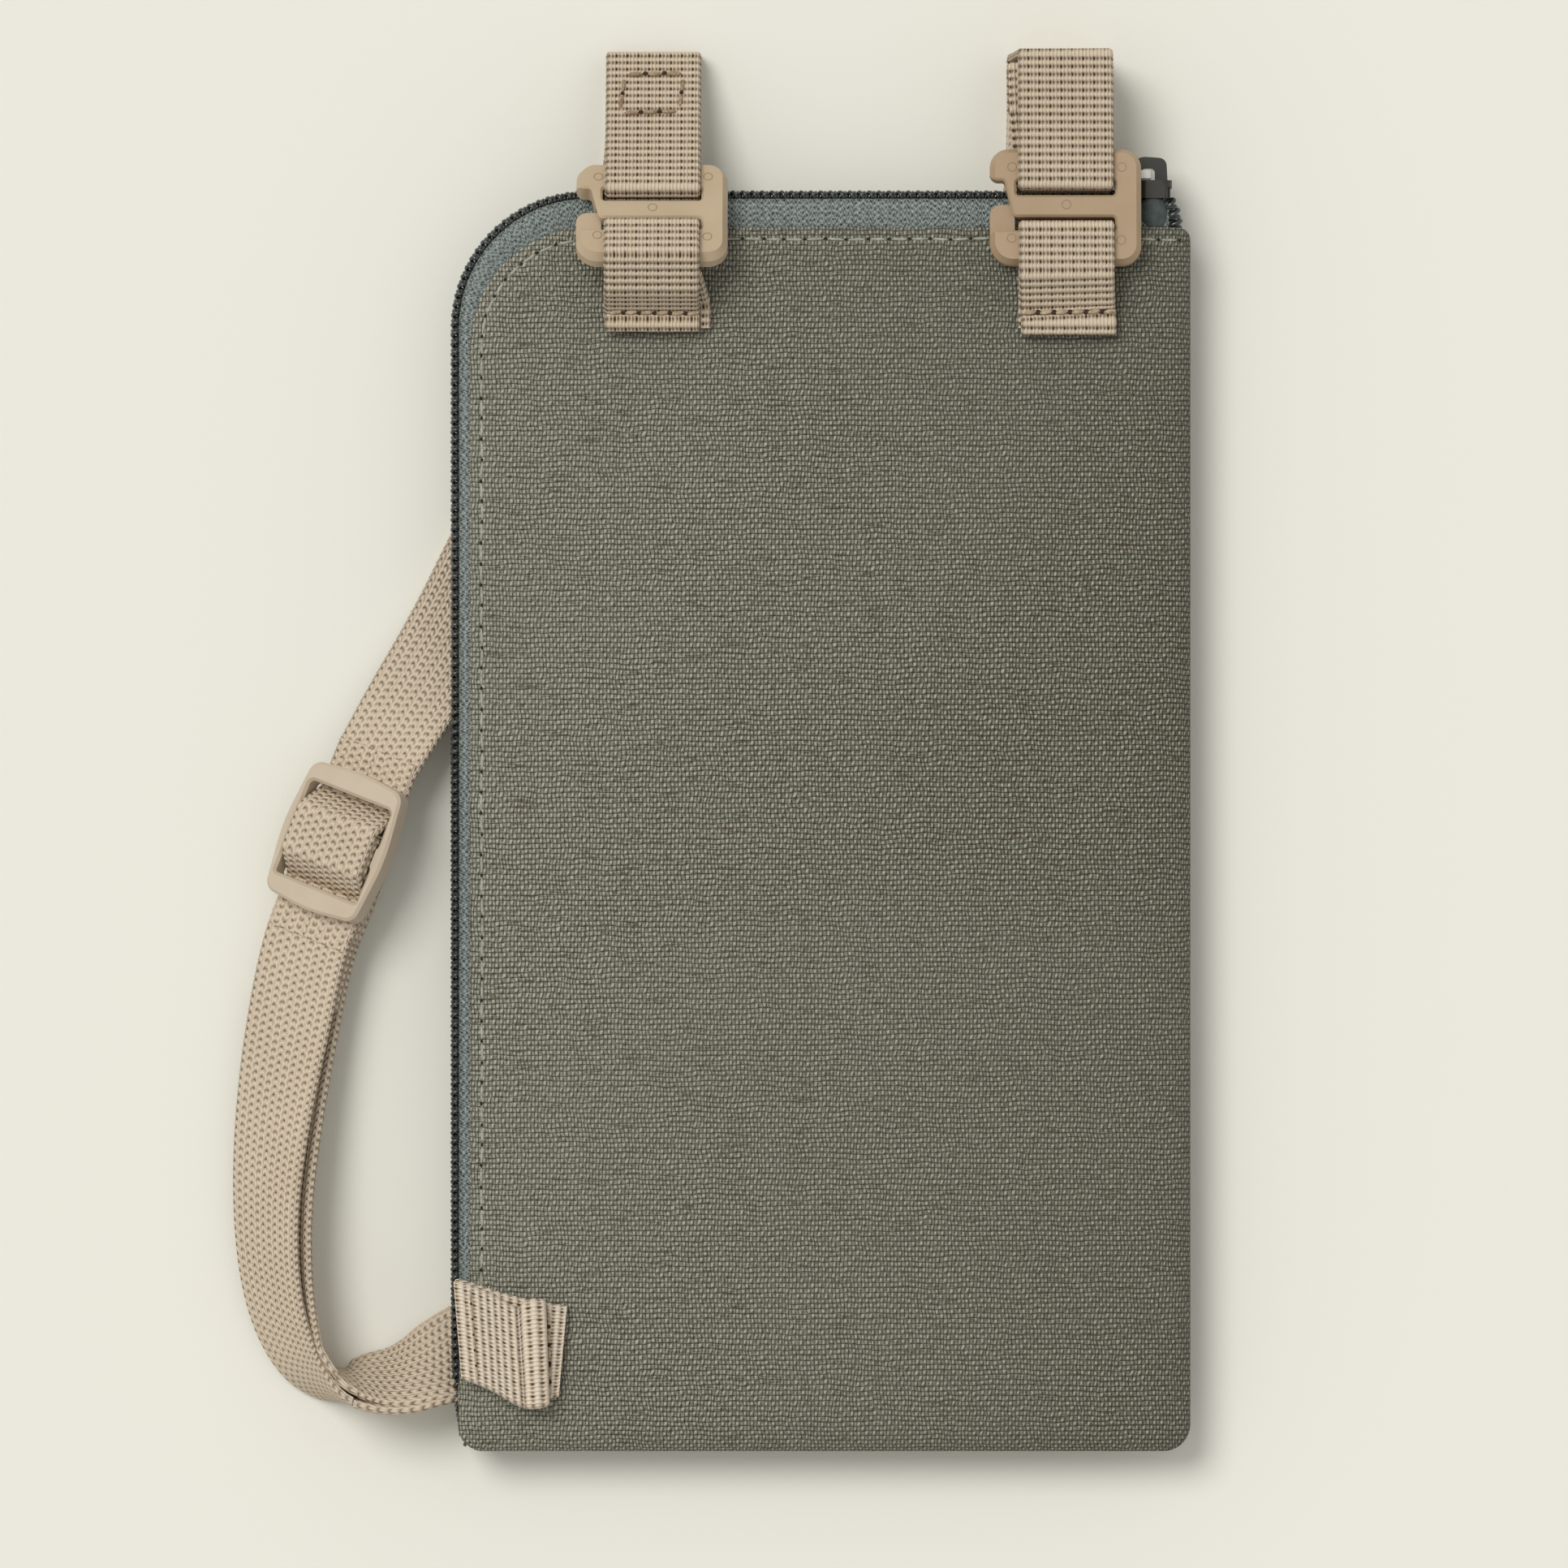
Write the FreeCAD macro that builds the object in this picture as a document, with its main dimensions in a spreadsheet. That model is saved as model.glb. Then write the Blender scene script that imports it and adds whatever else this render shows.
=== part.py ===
"""Neck pouch wallet: a flat zipped canvas pouch on a webbing neck strap.

The pouch lies on its back with the zip closed. X runs across the pouch towards its folded side,
Y runs up the pouch towards the hooks and Z comes out of the front face. The origin is the point of
the table under the middle of the pouch, on the underside of the strap that passes below it.
All lengths are millimetres.
"""
import FreeCAD
import Part
import math
import os

V = FreeCAD.Vector
doc = FreeCAD.newDocument("neck_pouch")

# ---------------------------------------------------------------------------------------------
# Driving dimensions: one row of the sheet each, as name, value, meaning.
# ---------------------------------------------------------------------------------------------
DIMENSIONS = [
    ("pouch_width", 118.0, "across the zip edge and the folded edge"),
    ("pouch_height", 201.0, "bottom edge to the zip along the top"),
    ("pouch_half_depth", 5.5, "seam plane to the face, in the middle of the pouch"),
    ("pouch_rest_height", 3.5, "table to the back face, where it lies on two layers of strap"),
    ("corner_big", 22.0, "rounded corner that the zip runs round"),
    ("corner_small", 4.3, "turned corners at the bottom"),
    ("corner_zip_end", 6.0, "corner where the zip ends"),
    ("canvas", 0.6, "shell cloth"),
    ("tape", 0.6, "zip tape"),
    ("lining", 0.4, "lining cloth"),
    ("canvas_edge_side", 3.2, "canvas edge inside the zip, up the side"),
    ("canvas_edge_top", 6.4, "canvas edge inside the zip, along the top"),
    ("tape_reach", 12.0, "how far the zip tape reaches in from the zip"),
    ("chain_depth", 1.9, "zip chain, measured in from the edge of the pouch"),
    ("chain_half", 2.0, "half the width of the closed chain, front to back"),
    ("webbing", 15.0, "width of all the webbing"),
    ("ply", 1.3, "thickness of the webbing"),
    ("ply_gap", 0.1, "air between two layers that are sewn together"),
    ("stack_gap", 0.75, "air between the strap's two layers where they lie loose"),
    ("hook_width", 24.0, "webbing hook across"),
    ("hook_height", 18.6, "webbing hook along the strap"),
    ("hook_thick", 3.4, "webbing hook through"),
    ("hook_edge", 0.8, "depth of the bevel round the hook's face"),
    ("hook_bevel", 1.5, "width of the bevel round the hook's face"),
    ("slider_length", 22.8, "strap adjuster along the strap"),
    ("slider_middle", 19.2, "strap adjuster across, in the middle"),
    ("slider_end", 17.2, "strap adjuster across, at its ends"),
    ("slider_thick", 3.2, "strap adjuster through"),
    ("slider_bank", 26.0, "lean of the adjuster about the strap, degrees"),
    ("left_tilt", 33.0, "left hook leans over the edge of the pouch, degrees"),
    ("right_tilt", 6.0, "right hook, degrees"),
    ("zip_wing_length", 8.8, "zip slider along the zip"),
    ("zip_wing_width", 8.3, "zip slider, front to back"),
    ("zip_wing", 1.1, "thickness of each wing of the zip slider"),
    ("pull_length", 13.0, "zip pull from its pin"),
    ("pull_width", 5.0, "zip pull across"),
    ("pull_thick", 1.3, "zip pull through"),
]

sheet = doc.addObject("Spreadsheet::Sheet", "dimensions")
for row, (name, value, meaning) in enumerate(DIMENSIONS, start=1):
    sheet.set(f"A{row}", name)
    sheet.set(f"B{row}", str(value))
    sheet.set(f"C{row}", meaning)
    sheet.setAlias(f"B{row}", name)
doc.recompute()


def size(name):
    """A driving dimension, read back from the sheet."""
    return float(sheet.get(name))


HALF_W = size("pouch_width") / 2
HALF_H = size("pouch_height") / 2
SEAM_Z = size("pouch_rest_height") + size("pouch_half_depth")
FACE_Z = SEAM_Z + size("pouch_half_depth")
PLY = size("ply")
WEB = size("webbing")


# ---------------------------------------------------------------------------------------------
# Outlines: straight runs joined by tangent arcs
# ---------------------------------------------------------------------------------------------
def unit(a, b):
    return (b - a).normalize()


def corner(before, point, after, radius):
    """Start, middle and end of the arc that rounds a corner, and the arc's centre."""
    into = unit(before, point)
    out = unit(point, after)
    turn = into.getAngle(out)
    back = radius * math.tan(turn / 2)
    start = point - into * back
    end = point + out * back
    inward = (out - into).normalize()
    centre = point + inward * (radius / math.cos(turn / 2))
    middle = centre - inward * radius
    return start, middle, end, centre


def closed_outline(corners):
    """Edges of a closed outline given as (x, y, corner radius); a radius of 0 keeps the corner sharp."""
    points = [V(x, y, 0) for x, y, _ in corners]
    arcs = []
    for i, (_, _, radius) in enumerate(corners):
        after = points[(i + 1) % len(points)]
        arcs.append(corner(points[i - 1], points[i], after, radius))
    edges = []
    for i, (start, middle, end, _) in enumerate(arcs):
        if start.distanceToPoint(end) > 1e-6:
            edges.append(Part.Arc(start, middle, end))
        following = arcs[(i + 1) % len(arcs)][0]
        if end.distanceToPoint(following) > 1e-6:
            edges.append(Part.LineSegment(end, following))
    return edges


def route_pieces(route, radii):
    """Straight pieces (start, end) and arcs (start, middle, end, centre) along an open route."""
    pieces = []
    last = route[0]
    for i in range(1, len(route) - 1):
        arc = corner(route[i - 1], route[i], route[i + 1], radii[i - 1])
        pieces.append((last, arc[0]))
        pieces.append(arc)
        last = arc[2]
    pieces.append((last, route[-1]))
    return pieces


def beside(piece, point, distance):
    """The point moved to the left of the route by a distance."""
    if len(piece) == 2:
        along = unit(piece[0], piece[1])
        return point + V(-along.y, along.x, 0) * distance
    start, middle, end, centre = piece
    side = 1 if (middle - start).cross(end - middle).z > 0 else -1
    return point + (centre - point).normalize() * (side * distance)


def band(route, radii, width):
    """Edges of the closed outline of a band of even width that follows a route."""
    pieces = route_pieces(route, radii)
    edges = []
    for half, order in ((width / 2, 1), (-width / 2, -1)):
        for piece in pieces[::order]:
            points = [beside(piece, p, half) for p in piece[:3][::order]]
            if len(points) == 3:
                edges.append(Part.Arc(*points))
            elif points[0].distanceToPoint(points[1]) > 1e-6:
                edges.append(Part.LineSegment(*points))
    ends = [(pieces[-1], pieces[-1][-1]), (pieces[0], pieces[0][0])]
    caps = [Part.LineSegment(beside(p, at, width / 2), beside(p, at, -width / 2)) for p, at in ends]
    return edges + caps


def easy_radii(route):
    """The largest arc that each corner's two runs leave room for."""
    radii = []
    for before, point, after in zip(route, route[1:], route[2:]):
        shorter = min(before.distanceToPoint(point), point.distanceToPoint(after))
        turn = unit(before, point).getAngle(unit(point, after))
        radii.append(0.45 * shorter / math.tan(turn / 2))
    return radii


def route_length(route, radii):
    total = 0.0
    for piece in route_pieces(route, radii):
        if len(piece) == 2:
            total += piece[0].distanceToPoint(piece[1])
        else:
            total += Part.Arc(*piece[:3]).toShape().Length
    return total


def solid_of(edges, depth):
    """A prism on a closed outline, from z = 0 upwards."""
    shapes = [e.toShape() for e in edges]
    wire = Part.Wire(Part.__sortEdges__(shapes))
    return Part.Face(wire).extrude(V(0, 0, depth))


# ---------------------------------------------------------------------------------------------
# Bodies and features
# ---------------------------------------------------------------------------------------------
parts = []

# Local x along world Y and local y along world Z, so a profile seen from the side is padded along X.
SIDE_VIEW = FreeCAD.Rotation(V(1, 1, 1), 120)


def new_body(label):
    body = doc.addObject("PartDesign::Body", label)
    body.Label = label
    parts.append(body)
    return body


def new_sketch(body, name, edges, role="XY_Plane", height=0.0):
    sketch = body.newObject("Sketcher::SketchObject", f"{body.Name}_{name}")
    plane = next(f for f in body.Origin.OriginFeatures if f.Role == role)
    sketch.AttachmentSupport = (plane, [""])
    sketch.MapMode = "FlatFace"
    sketch.AttachmentOffset = FreeCAD.Placement(V(0, 0, height), FreeCAD.Rotation())
    sketch.addGeometry(edges, False)
    return sketch


def pad(body, name, edges, length, midplane=False, role="XY_Plane", height=0.0):
    """Pad an outline by a length given as an expression on the sheet."""
    sketch = new_sketch(body, name, edges, role, height)
    feature = body.newObject("PartDesign::Pad", f"{body.Name}_{name}_pad")
    feature.Profile = sketch
    feature.Midplane = midplane
    feature.setExpression("Length", length)
    doc.recompute()
    return feature


def pocket(body, name, edges, length, role="XY_Plane", height=0.0, midplane=False):
    """Cut an outline downwards from a height, and make sure that it took something away."""
    before = body.Shape.Volume
    sketch = new_sketch(body, name, edges, role, height)
    feature = body.newObject("PartDesign::Pocket", f"{body.Name}_{name}_pocket")
    feature.Profile = sketch
    feature.Midplane = midplane
    feature.setExpression("Length", length)
    doc.recompute()
    if body.Shape.Volume > before - 0.01:
        raise RuntimeError(f"{body.Label}: pocket {name} cut nothing")
    return feature


def bevel_face(body, height, depth, width, within=None):
    """Bevel the edges of the body's flat faces at a height, so deep and, on the face, so wide.

    Within limits it to edges whose middle lies that near the body's own middle, in x and y.
    """
    base = body.Tip
    volume = base.Shape.Volume
    level = [face for face in base.Shape.Faces if abs(face.CenterOfMass.z - height) < 1e-4]
    chosen = []
    for i, edge in enumerate(base.Shape.Edges, start=1):
        middle = edge.CenterOfMass
        near = within is None or (abs(middle.x) < within[0] and abs(middle.y) < within[1])
        if near and any(edge.isSame(other) for face in level for other in face.Edges):
            chosen.append(f"Edge{i}")
    feature = body.newObject("PartDesign::Chamfer", f"{body.Name}_bevel")
    feature.Base = (base, chosen)
    feature.ChamferType = "Two distances"
    feature.setExpression("Size", width)
    feature.setExpression("Size2", depth)
    doc.recompute()
    if feature.Shape.Volume > volume - 0.01:
        raise RuntimeError(f"{body.Label}: the bevel at {height:.2f} took nothing away")
    return feature


def soft_part(label, shape):
    """A cloth or webbing piece whose form no feature gives."""
    part = doc.addObject("Part::Feature", label)
    part.Label = label
    part.Shape = shape
    parts.append(part)
    return part


def webbing_side(label, route, radii, middle_x):
    """Webbing seen from its edge: a route in the plane of Y and Z, as wide as the webbing in X."""
    body = new_body(label)
    pad(body, "ply", band([V(y, z, 0) for y, z in route], radii, PLY), "dimensions.webbing", True)
    body.Placement = FreeCAD.Placement(V(middle_x, 0, 0), SIDE_VIEW)
    return body


# ---------------------------------------------------------------------------------------------
# Pouch shell: two dished halves that meet in the seam plane
# ---------------------------------------------------------------------------------------------
def dish_profile():
    """How far in from the edge and how far above the seam plane the outer surface lies."""
    top = size("pouch_half_depth")
    return [(0.0, 0.0), (0.4, 0.33 * top), (2.0, 0.65 * top), (6.0, 0.87 * top), (14.0, top)]


def inner_profile(depth):
    """The outer profile moved inwards by a depth, square to itself."""
    outer = dish_profile()
    moved = []
    for i, (inset, height) in enumerate(outer):
        before = outer[max(i - 1, 0)]
        after = outer[min(i + 1, len(outer) - 1)]
        slope = V(after[0] - before[0], after[1] - before[1], 0).normalize()
        if i == 0:
            slope = V(0, 1, 0)
        if i == len(outer) - 1:
            slope = V(1, 0, 0)
        moved.append((inset + slope.y * depth, height - slope.x * depth))
    return moved


def pouch_outline(inset):
    """Outline of the pouch, drawn in by an inset."""
    x = HALF_W - inset
    y = HALF_H - inset
    big = max(size("corner_big") - inset, 1.0)
    small = max(size("corner_small") - inset, 1.0)
    zip_end = max(size("corner_zip_end") - inset, 1.0)
    return closed_outline([(-x, y, big), (-x, -y, small), (x, -y, small), (x, y, zip_end)])


def dish(depth):
    """Solid of one half of the pouch inside a skin of the given depth."""
    sections = []
    for inset, height in inner_profile(depth):
        shapes = [e.toShape() for e in pouch_outline(inset)]
        wire = Part.Wire(Part.__sortEdges__(shapes))
        wire.translate(V(0, 0, height))
        sections.append(wire)
    return Part.makeLoft(sections, True, True)


def inside_zip(side, top, corner_radius):
    """Column over the area that stays a given way inside the zip; it overruns the sewn sides."""
    reach = HALF_W + 10
    left = -HALF_W + side
    high = HALF_H - top
    edges = closed_outline(
        [(left, high, corner_radius), (left, -reach * 2, 0), (reach, -reach * 2, 0), (reach, high, 0)]
    )
    column = solid_of(edges, 40)
    column.translate(V(0, 0, -20))
    return column


def front_and_back(name, shape):
    """The same dished piece as the front and, turned over, as the back of the pouch."""
    front = shape.copy()
    front.translate(V(0, 0, SEAM_Z))
    back = shape.mirror(V(0, 0, 0), V(0, 0, 1))
    back.translate(V(0, 0, SEAM_Z))
    return front, back


canvas_in = size("canvas")
tape_in = canvas_in + size("tape")
lining_in = tape_in + size("lining")
skins = [dish(0.0), dish(canvas_in), dish(tape_in), dish(lining_in)]
tape_side = size("tape_reach")
canvas_area = inside_zip(size("canvas_edge_side"), size("canvas_edge_top"), 17.5)
tape_outer = inside_zip(1.9, 1.9, size("corner_big") - 1.9)
tape_inner = inside_zip(tape_side, tape_side, size("corner_big") - tape_side)
tape_end = Part.makeBox(80, 40, 40, V(54.0, 70, -20))
tape_foot = Part.makeBox(300, 300, 40, V(-150, -150, -40 + size("chain_half")))

canvas_shell = skins[0].cut(skins[1]).common(canvas_area)
tape_strip = skins[1].cut(skins[2]).common(tape_outer).cut(tape_inner).cut(tape_end).cut(tape_foot)
lining_shell = skins[2].cut(skins[3]).common(inside_zip(7.0, 7.0, 15.0))

for label, shape in zip(("front_panel", "back_panel"), front_and_back("panel", canvas_shell)):
    soft_part(label, shape)
for label, shape in zip(("front_lining", "back_lining"), front_and_back("lining", lining_shell)):
    soft_part(label, shape)
for label, shape in zip(("zip_tape_front", "zip_tape_back"), front_and_back("tape", tape_strip)):
    soft_part(label, shape)


# ---------------------------------------------------------------------------------------------
# Inside the pouch
# ---------------------------------------------------------------------------------------------
# A flat card pocket is sewn to the back lining round three sides; its mouth faces the zip's top run.
pocket_half = HALF_W - 15
pocket_top = 30.0
pocket_floor = SEAM_Z - size("pouch_half_depth") + lining_in
pocket_edges = closed_outline(
    [
        (-pocket_half, pocket_top, 0),
        (-pocket_half, -HALF_H + 15, 2),
        (pocket_half, -HALF_H + 15, 2),
        (pocket_half, pocket_top, 0),
    ]
)
card_pocket = new_body("card_pocket")
pad(card_pocket, "sheet", pocket_edges, "dimensions.lining")
card_pocket.Placement = FreeCAD.Placement(V(0, 0, pocket_floor + 0.02), FreeCAD.Rotation())

# Tape binds the raw edges where the two halves are sewn together, down the side and along the foot.
binding_in = lining_in + 1.3
binding_x = HALF_W - binding_in
binding_y = -HALF_H + binding_in
binding_route = [V(-HALF_W + 12, binding_y, 0), V(binding_x, binding_y, 0), V(binding_x, HALF_H - 12, 0)]
seam_binding = new_body("seam_binding")
pad(seam_binding, "tape", band(binding_route, [3.0], 2.0), "2 * dimensions.lining", True)
seam_binding.Placement = FreeCAD.Placement(V(0, 0, SEAM_Z), FreeCAD.Rotation())

# ---------------------------------------------------------------------------------------------
# Zip: two coils meshed at the seam plane, the slider and its pull
# ---------------------------------------------------------------------------------------------
CHAIN = size("chain_depth")
chain_x = -HALF_W + CHAIN / 2
chain_y = HALF_H - CHAIN / 2
TAIL_X = 54.6
MESHED_END = 52.4
TAIL_PART = 1.3
meshed_route = [V(chain_x, -HALF_H + 1.2, 0), V(chain_x, chain_y, 0), V(MESHED_END, chain_y, 0)]
tail_route = [V(MESHED_END - 0.2, chain_y, 0), V(TAIL_X, chain_y, 0), V(TAIL_X, chain_y - 5.8, 0)]
for label, turned in (("zip_coil_front", 0), ("zip_coil_back", 180)):
    # The back coil is the front one turned over, so its outline is drawn mirrored.
    flip = -1 if turned else 1
    meshed = [V(p.x * flip, p.y, 0) for p in meshed_route]
    tail = [V(p.x * flip, p.y, 0) for p in tail_route]
    coil = new_body(label)
    bend = [size("corner_big") - CHAIN / 2]
    pad(coil, "strand", band(meshed, bend, CHAIN), "dimensions.chain_half")
    pad(coil, "tail", band(tail, [1.6], CHAIN), "dimensions.chain_half - 0.3", height=TAIL_PART)
    coil.Placement = FreeCAD.Placement(V(0, 0, SEAM_Z), FreeCAD.Rotation(V(0, 1, 0), turned))

# The zip slider is drawn with local x along the zip, local y towards the back and local z outwards.
ZIP_SLIDER_X = 52.3
ZIP_CLEAR = 0.25
ZIP_VIEW = FreeCAD.Rotation(V(1, 0, 0), -90)
wing_half = size("zip_wing_length") / 2
WING_TO = wing_half - 0.7
wing_side = size("zip_wing_width") / 2
WING_TOP = ZIP_CLEAR + size("zip_wing")
throat_half = size("chain_half") + ZIP_CLEAR
keel_side = 1.0
# The rails are the slider's side walls. They flare where the two coils part.
RAIL_FOOT = -1.5
RAIL_TOP = ZIP_CLEAR + 0.5
RAIL_WALL = 0.85
RAIL_FLARE = wing_side - throat_half - RAIL_WALL
# The bridge is a stout arch over the pull's end bar.
BRIDGE_FROM = -3.1
BRIDGE_TO = 3.05
BRIDGE_LEG = 2.0
BRIDGE_TOP = 5.2
BRIDGE_BAR = 1.8


def mirrored_outline(half):
    """Closed outline from the corners of its lower half, mirrored across local x."""
    return closed_outline(half + [(x, -y, r) for x, y, r in reversed(half)])


zip_slider = new_body("zip_slider")
nose_side = throat_half + RAIL_WALL
wing_edges = mirrored_outline(
    [(-wing_half, -nose_side, 1.2), (-2.0, -nose_side, 1.5), (-0.7, -wing_side, 1.2), (WING_TO, -wing_side, 1.6)]
)
pad(zip_slider, "wing", wing_edges, "dimensions.zip_wing", height=ZIP_CLEAR)
for side, name in ((-1, "front"), (1, "back")):
    inner = side * throat_half
    outer = side * (throat_half + RAIL_WALL)
    flare = side * RAIL_FLARE
    rail = closed_outline(
        [
            (-3.4, inner, 0),
            (-1.8, inner, 0),
            (-0.6, inner + flare, 0),
            (2.9, inner + flare, 0),
            (2.9, outer + flare, 0.4),
            (-0.7, outer + flare, 0.8),
            (-2.0, outer, 0.8),
            (-3.4, outer, 0.4),
        ]
    )
    pad(zip_slider, f"rail_{name}", rail, f"{RAIL_TOP - RAIL_FOOT}", height=RAIL_FOOT)
post_edges = mirrored_outline([(WING_TO - 1.6, -0.9, 0.5), (WING_TO - 0.2, -0.6, 0.3)])
pad(zip_slider, "post", post_edges, "dimensions.chain_depth + 1.0", height=-CHAIN - 0.5)
keel_edges = mirrored_outline([(-wing_half, -keel_side * 0.6, 0.5), (WING_TO, -keel_side, 0.8)])
KEEL_HEIGHT = -CHAIN - ZIP_CLEAR - size("zip_wing")
pad(zip_slider, "keel", keel_edges, "dimensions.zip_wing", height=KEEL_HEIGHT)
arch = closed_outline(
    [
        (BRIDGE_FROM, WING_TOP - 0.4, 0),
        (BRIDGE_TO, WING_TOP - 0.4, 0),
        (BRIDGE_TO - 0.2, BRIDGE_TOP - 0.2, 1.3),
        (BRIDGE_FROM, BRIDGE_TOP + 0.2, 2.6),
    ]
)
eye_from = BRIDGE_FROM + BRIDGE_LEG
eye_to = BRIDGE_TO - BRIDGE_LEG
eye_top = BRIDGE_TOP - BRIDGE_BAR
eye = closed_outline(
    [
        (eye_from, WING_TOP + 0.05, 0.2),
        (eye_to, WING_TOP + 0.05, 0.2),
        (eye_to, eye_top, 0.7),
        (eye_from, eye_top, 0.7),
    ]
)
pad(zip_slider, "bridge", arch + eye, "1.8", midplane=True, role="XZ_Plane")
zip_slider.Placement = FreeCAD.Placement(V(ZIP_SLIDER_X, HALF_H, SEAM_Z), ZIP_VIEW)

# The pull's end bar turns inside the bridge; its two arms pass either side of the bridge.
PIN_X = -0.05
PIN_HIGH = 1.03
pull_half = size("pull_width") / 2
pull_end = -size("pull_length")
zip_pull = new_body("zip_pull")
pull_edges = mirrored_outline([(pull_end, -pull_half * 0.8, 1.4), (0.5, -pull_half, 0.45)])
slot_edges = mirrored_outline([(-4.3, -1.25, 0.5), (-0.5, -1.25, 0.2)])
grip_hole = mirrored_outline([(pull_end + 1.4, -0.9, 0.88), (pull_end + 4.6, -0.9, 0.88)])
plate_edges = pull_edges + slot_edges + grip_hole
pad(zip_pull, "plate", plate_edges, "dimensions.pull_thick", midplane=True)
PIN = V(ZIP_SLIDER_X + PIN_X, HALF_H + WING_TOP + PIN_HIGH, SEAM_Z)
zip_pull.Placement = FreeCAD.Placement(PIN, ZIP_VIEW)

# ---------------------------------------------------------------------------------------------
# Webbing hooks: three bars, a closed upper slot for the strap and an open lower slot for the loop
# ---------------------------------------------------------------------------------------------
HOOK_X = size("hook_width") / 2
HOOK_Y = size("hook_height") / 2
HOOK_Z = size("hook_thick") / 2
SLOT_X = WEB / 2 + 0.35
UPPER_BAR = 4.1
MIDDLE_BAR = 1.75
LOWER_BAR = -3.9
FINGER_TOP = 0.4
FINGER_END = -SLOT_X - 0.2
GATE_WALL = -SLOT_X + 0.25


def make_hook(label, middle, tilt):
    hook = new_body(label)
    plate = closed_outline(
        [(HOOK_X, HOOK_Y, 3.1), (-HOOK_X, HOOK_Y, 3.0), (-HOOK_X, -HOOK_Y, 3.6), (HOOK_X, -HOOK_Y, 3.1)]
    )
    slot = closed_outline(
        [
            (-SLOT_X, MIDDLE_BAR, 0.5),
            (SLOT_X, MIDDLE_BAR, 0.5),
            (SLOT_X, UPPER_BAR, 0.5),
            (-SLOT_X, UPPER_BAR, 0.5),
        ]
    )
    mouth = closed_outline(
        [
            (-HOOK_X - 1.0, UPPER_BAR + 2.4, 0),
            (-HOOK_X + 0.6, UPPER_BAR, 1.4),
            (-9.7, UPPER_BAR, 0.6),
            (-8.3, -MIDDLE_BAR, 0.9),
            (SLOT_X, -MIDDLE_BAR, 0.5),
            (SLOT_X, LOWER_BAR, 0.5),
            (-HOOK_X + 0.6, LOWER_BAR, 1.4),
            (-HOOK_X - 1.0, LOWER_BAR - 2.0, 0),
        ]
    )
    pad(hook, "plate", plate, "dimensions.hook_thick", midplane=True)
    bevel_face(hook, HOOK_Z, "dimensions.hook_edge", "dimensions.hook_bevel")
    bevel_face(hook, -HOOK_Z, "0.4", "0.4")
    pocket(hook, "slot", slot, "dimensions.hook_thick", height=HOOK_Z)
    pocket(hook, "mouth", mouth, "dimensions.hook_thick", height=HOOK_Z)
    bevel_face(hook, HOOK_Z, "0.35", "0.35", within=(10.0, 5.0))
    # A finger half as thick closes the lower slot. It passes behind the strut, and the webbing slips
    # in through the gate between the two.
    finger = closed_outline(
        [
            (-HOOK_X, LOWER_BAR - 2.5, 0),
            (FINGER_END, LOWER_BAR - 2.5, 0),
            (FINGER_END, FINGER_TOP, 0.8),
            (-HOOK_X, FINGER_TOP, 1.8),
        ]
    )
    gate = closed_outline([(-13, -2.6, 0), (GATE_WALL, -2.6, 0), (GATE_WALL, 1.0, 0), (-13, 1.0, 0)])
    pocket(hook, "gate", gate, "dimensions.hook_thick - 1.2", height=HOOK_Z - 1.2)
    pad(hook, "finger", finger, "dimensions.hook_thick / 2 - 0.1", height=-HOOK_Z)
    lean = FreeCAD.Rotation(V(1, 0, 0), -tilt)
    hook.Placement = FreeCAD.Placement(middle, lean)
    return hook


def hook_point(middle, tilt, along, out):
    """World (y, z) of a point given along the hook and out of its plane."""
    lean = math.radians(tilt)
    y = middle.y + along * math.cos(lean) + out * math.sin(lean)
    z = middle.z - along * math.sin(lean) + out * math.cos(lean)
    return (y, z)


LEFT_HOOK = V(-26.7, 96.1, FACE_Z + 3.5)
RIGHT_HOOK = V(38.9, 97.3, FACE_Z + 2.4)
LEFT_TILT = size("left_tilt")
RIGHT_TILT = size("right_tilt")
make_hook("left_hook", LEFT_HOOK, LEFT_TILT)
make_hook("right_hook", RIGHT_HOOK, RIGHT_TILT)

# Webbing runs round a bar with its middle line this far from the bar's middle plane or edge.
ROUND = HOOK_Z + 0.15 + PLY / 2
EDGE = 0.15 + PLY / 2
SEWN_END = 78.2
SEWN_TO = 81.8
on_face = FACE_Z + 0.02 + PLY / 2


def make_hook_loop(label, middle, tilt, middle_x):
    """A short loop of webbing sewn to the front of the pouch and passed round the hook's lower bar."""
    under_hook = hook_point(middle, tilt, -HOOK_Y - 0.6, -ROUND)
    climb = math.atan2(under_hook[1] - on_face, under_hook[0] - SEWN_TO)
    apart = PLY + size("ply_gap")
    route = [
        (SEWN_END, on_face),
        (SEWN_TO, on_face),
        under_hook,
        hook_point(middle, tilt, LOWER_BAR + EDGE, -ROUND),
        hook_point(middle, tilt, LOWER_BAR + EDGE, ROUND),
        hook_point(middle, tilt, -HOOK_Y - 1.7, ROUND),
        (SEWN_TO - apart * math.tan(climb / 2), on_face + apart),
        (SEWN_END, on_face + apart),
    ]
    return webbing_side(label, route, [2.0, 2.0, 1.2, 1.2, 3.0, 2.0], middle_x)


make_hook_loop("left_hook_loop", LEFT_HOOK, LEFT_TILT, LEFT_HOOK.x)
make_hook_loop("right_hook_loop", RIGHT_HOOK, RIGHT_TILT, RIGHT_HOOK.x + 0.1)

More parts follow.
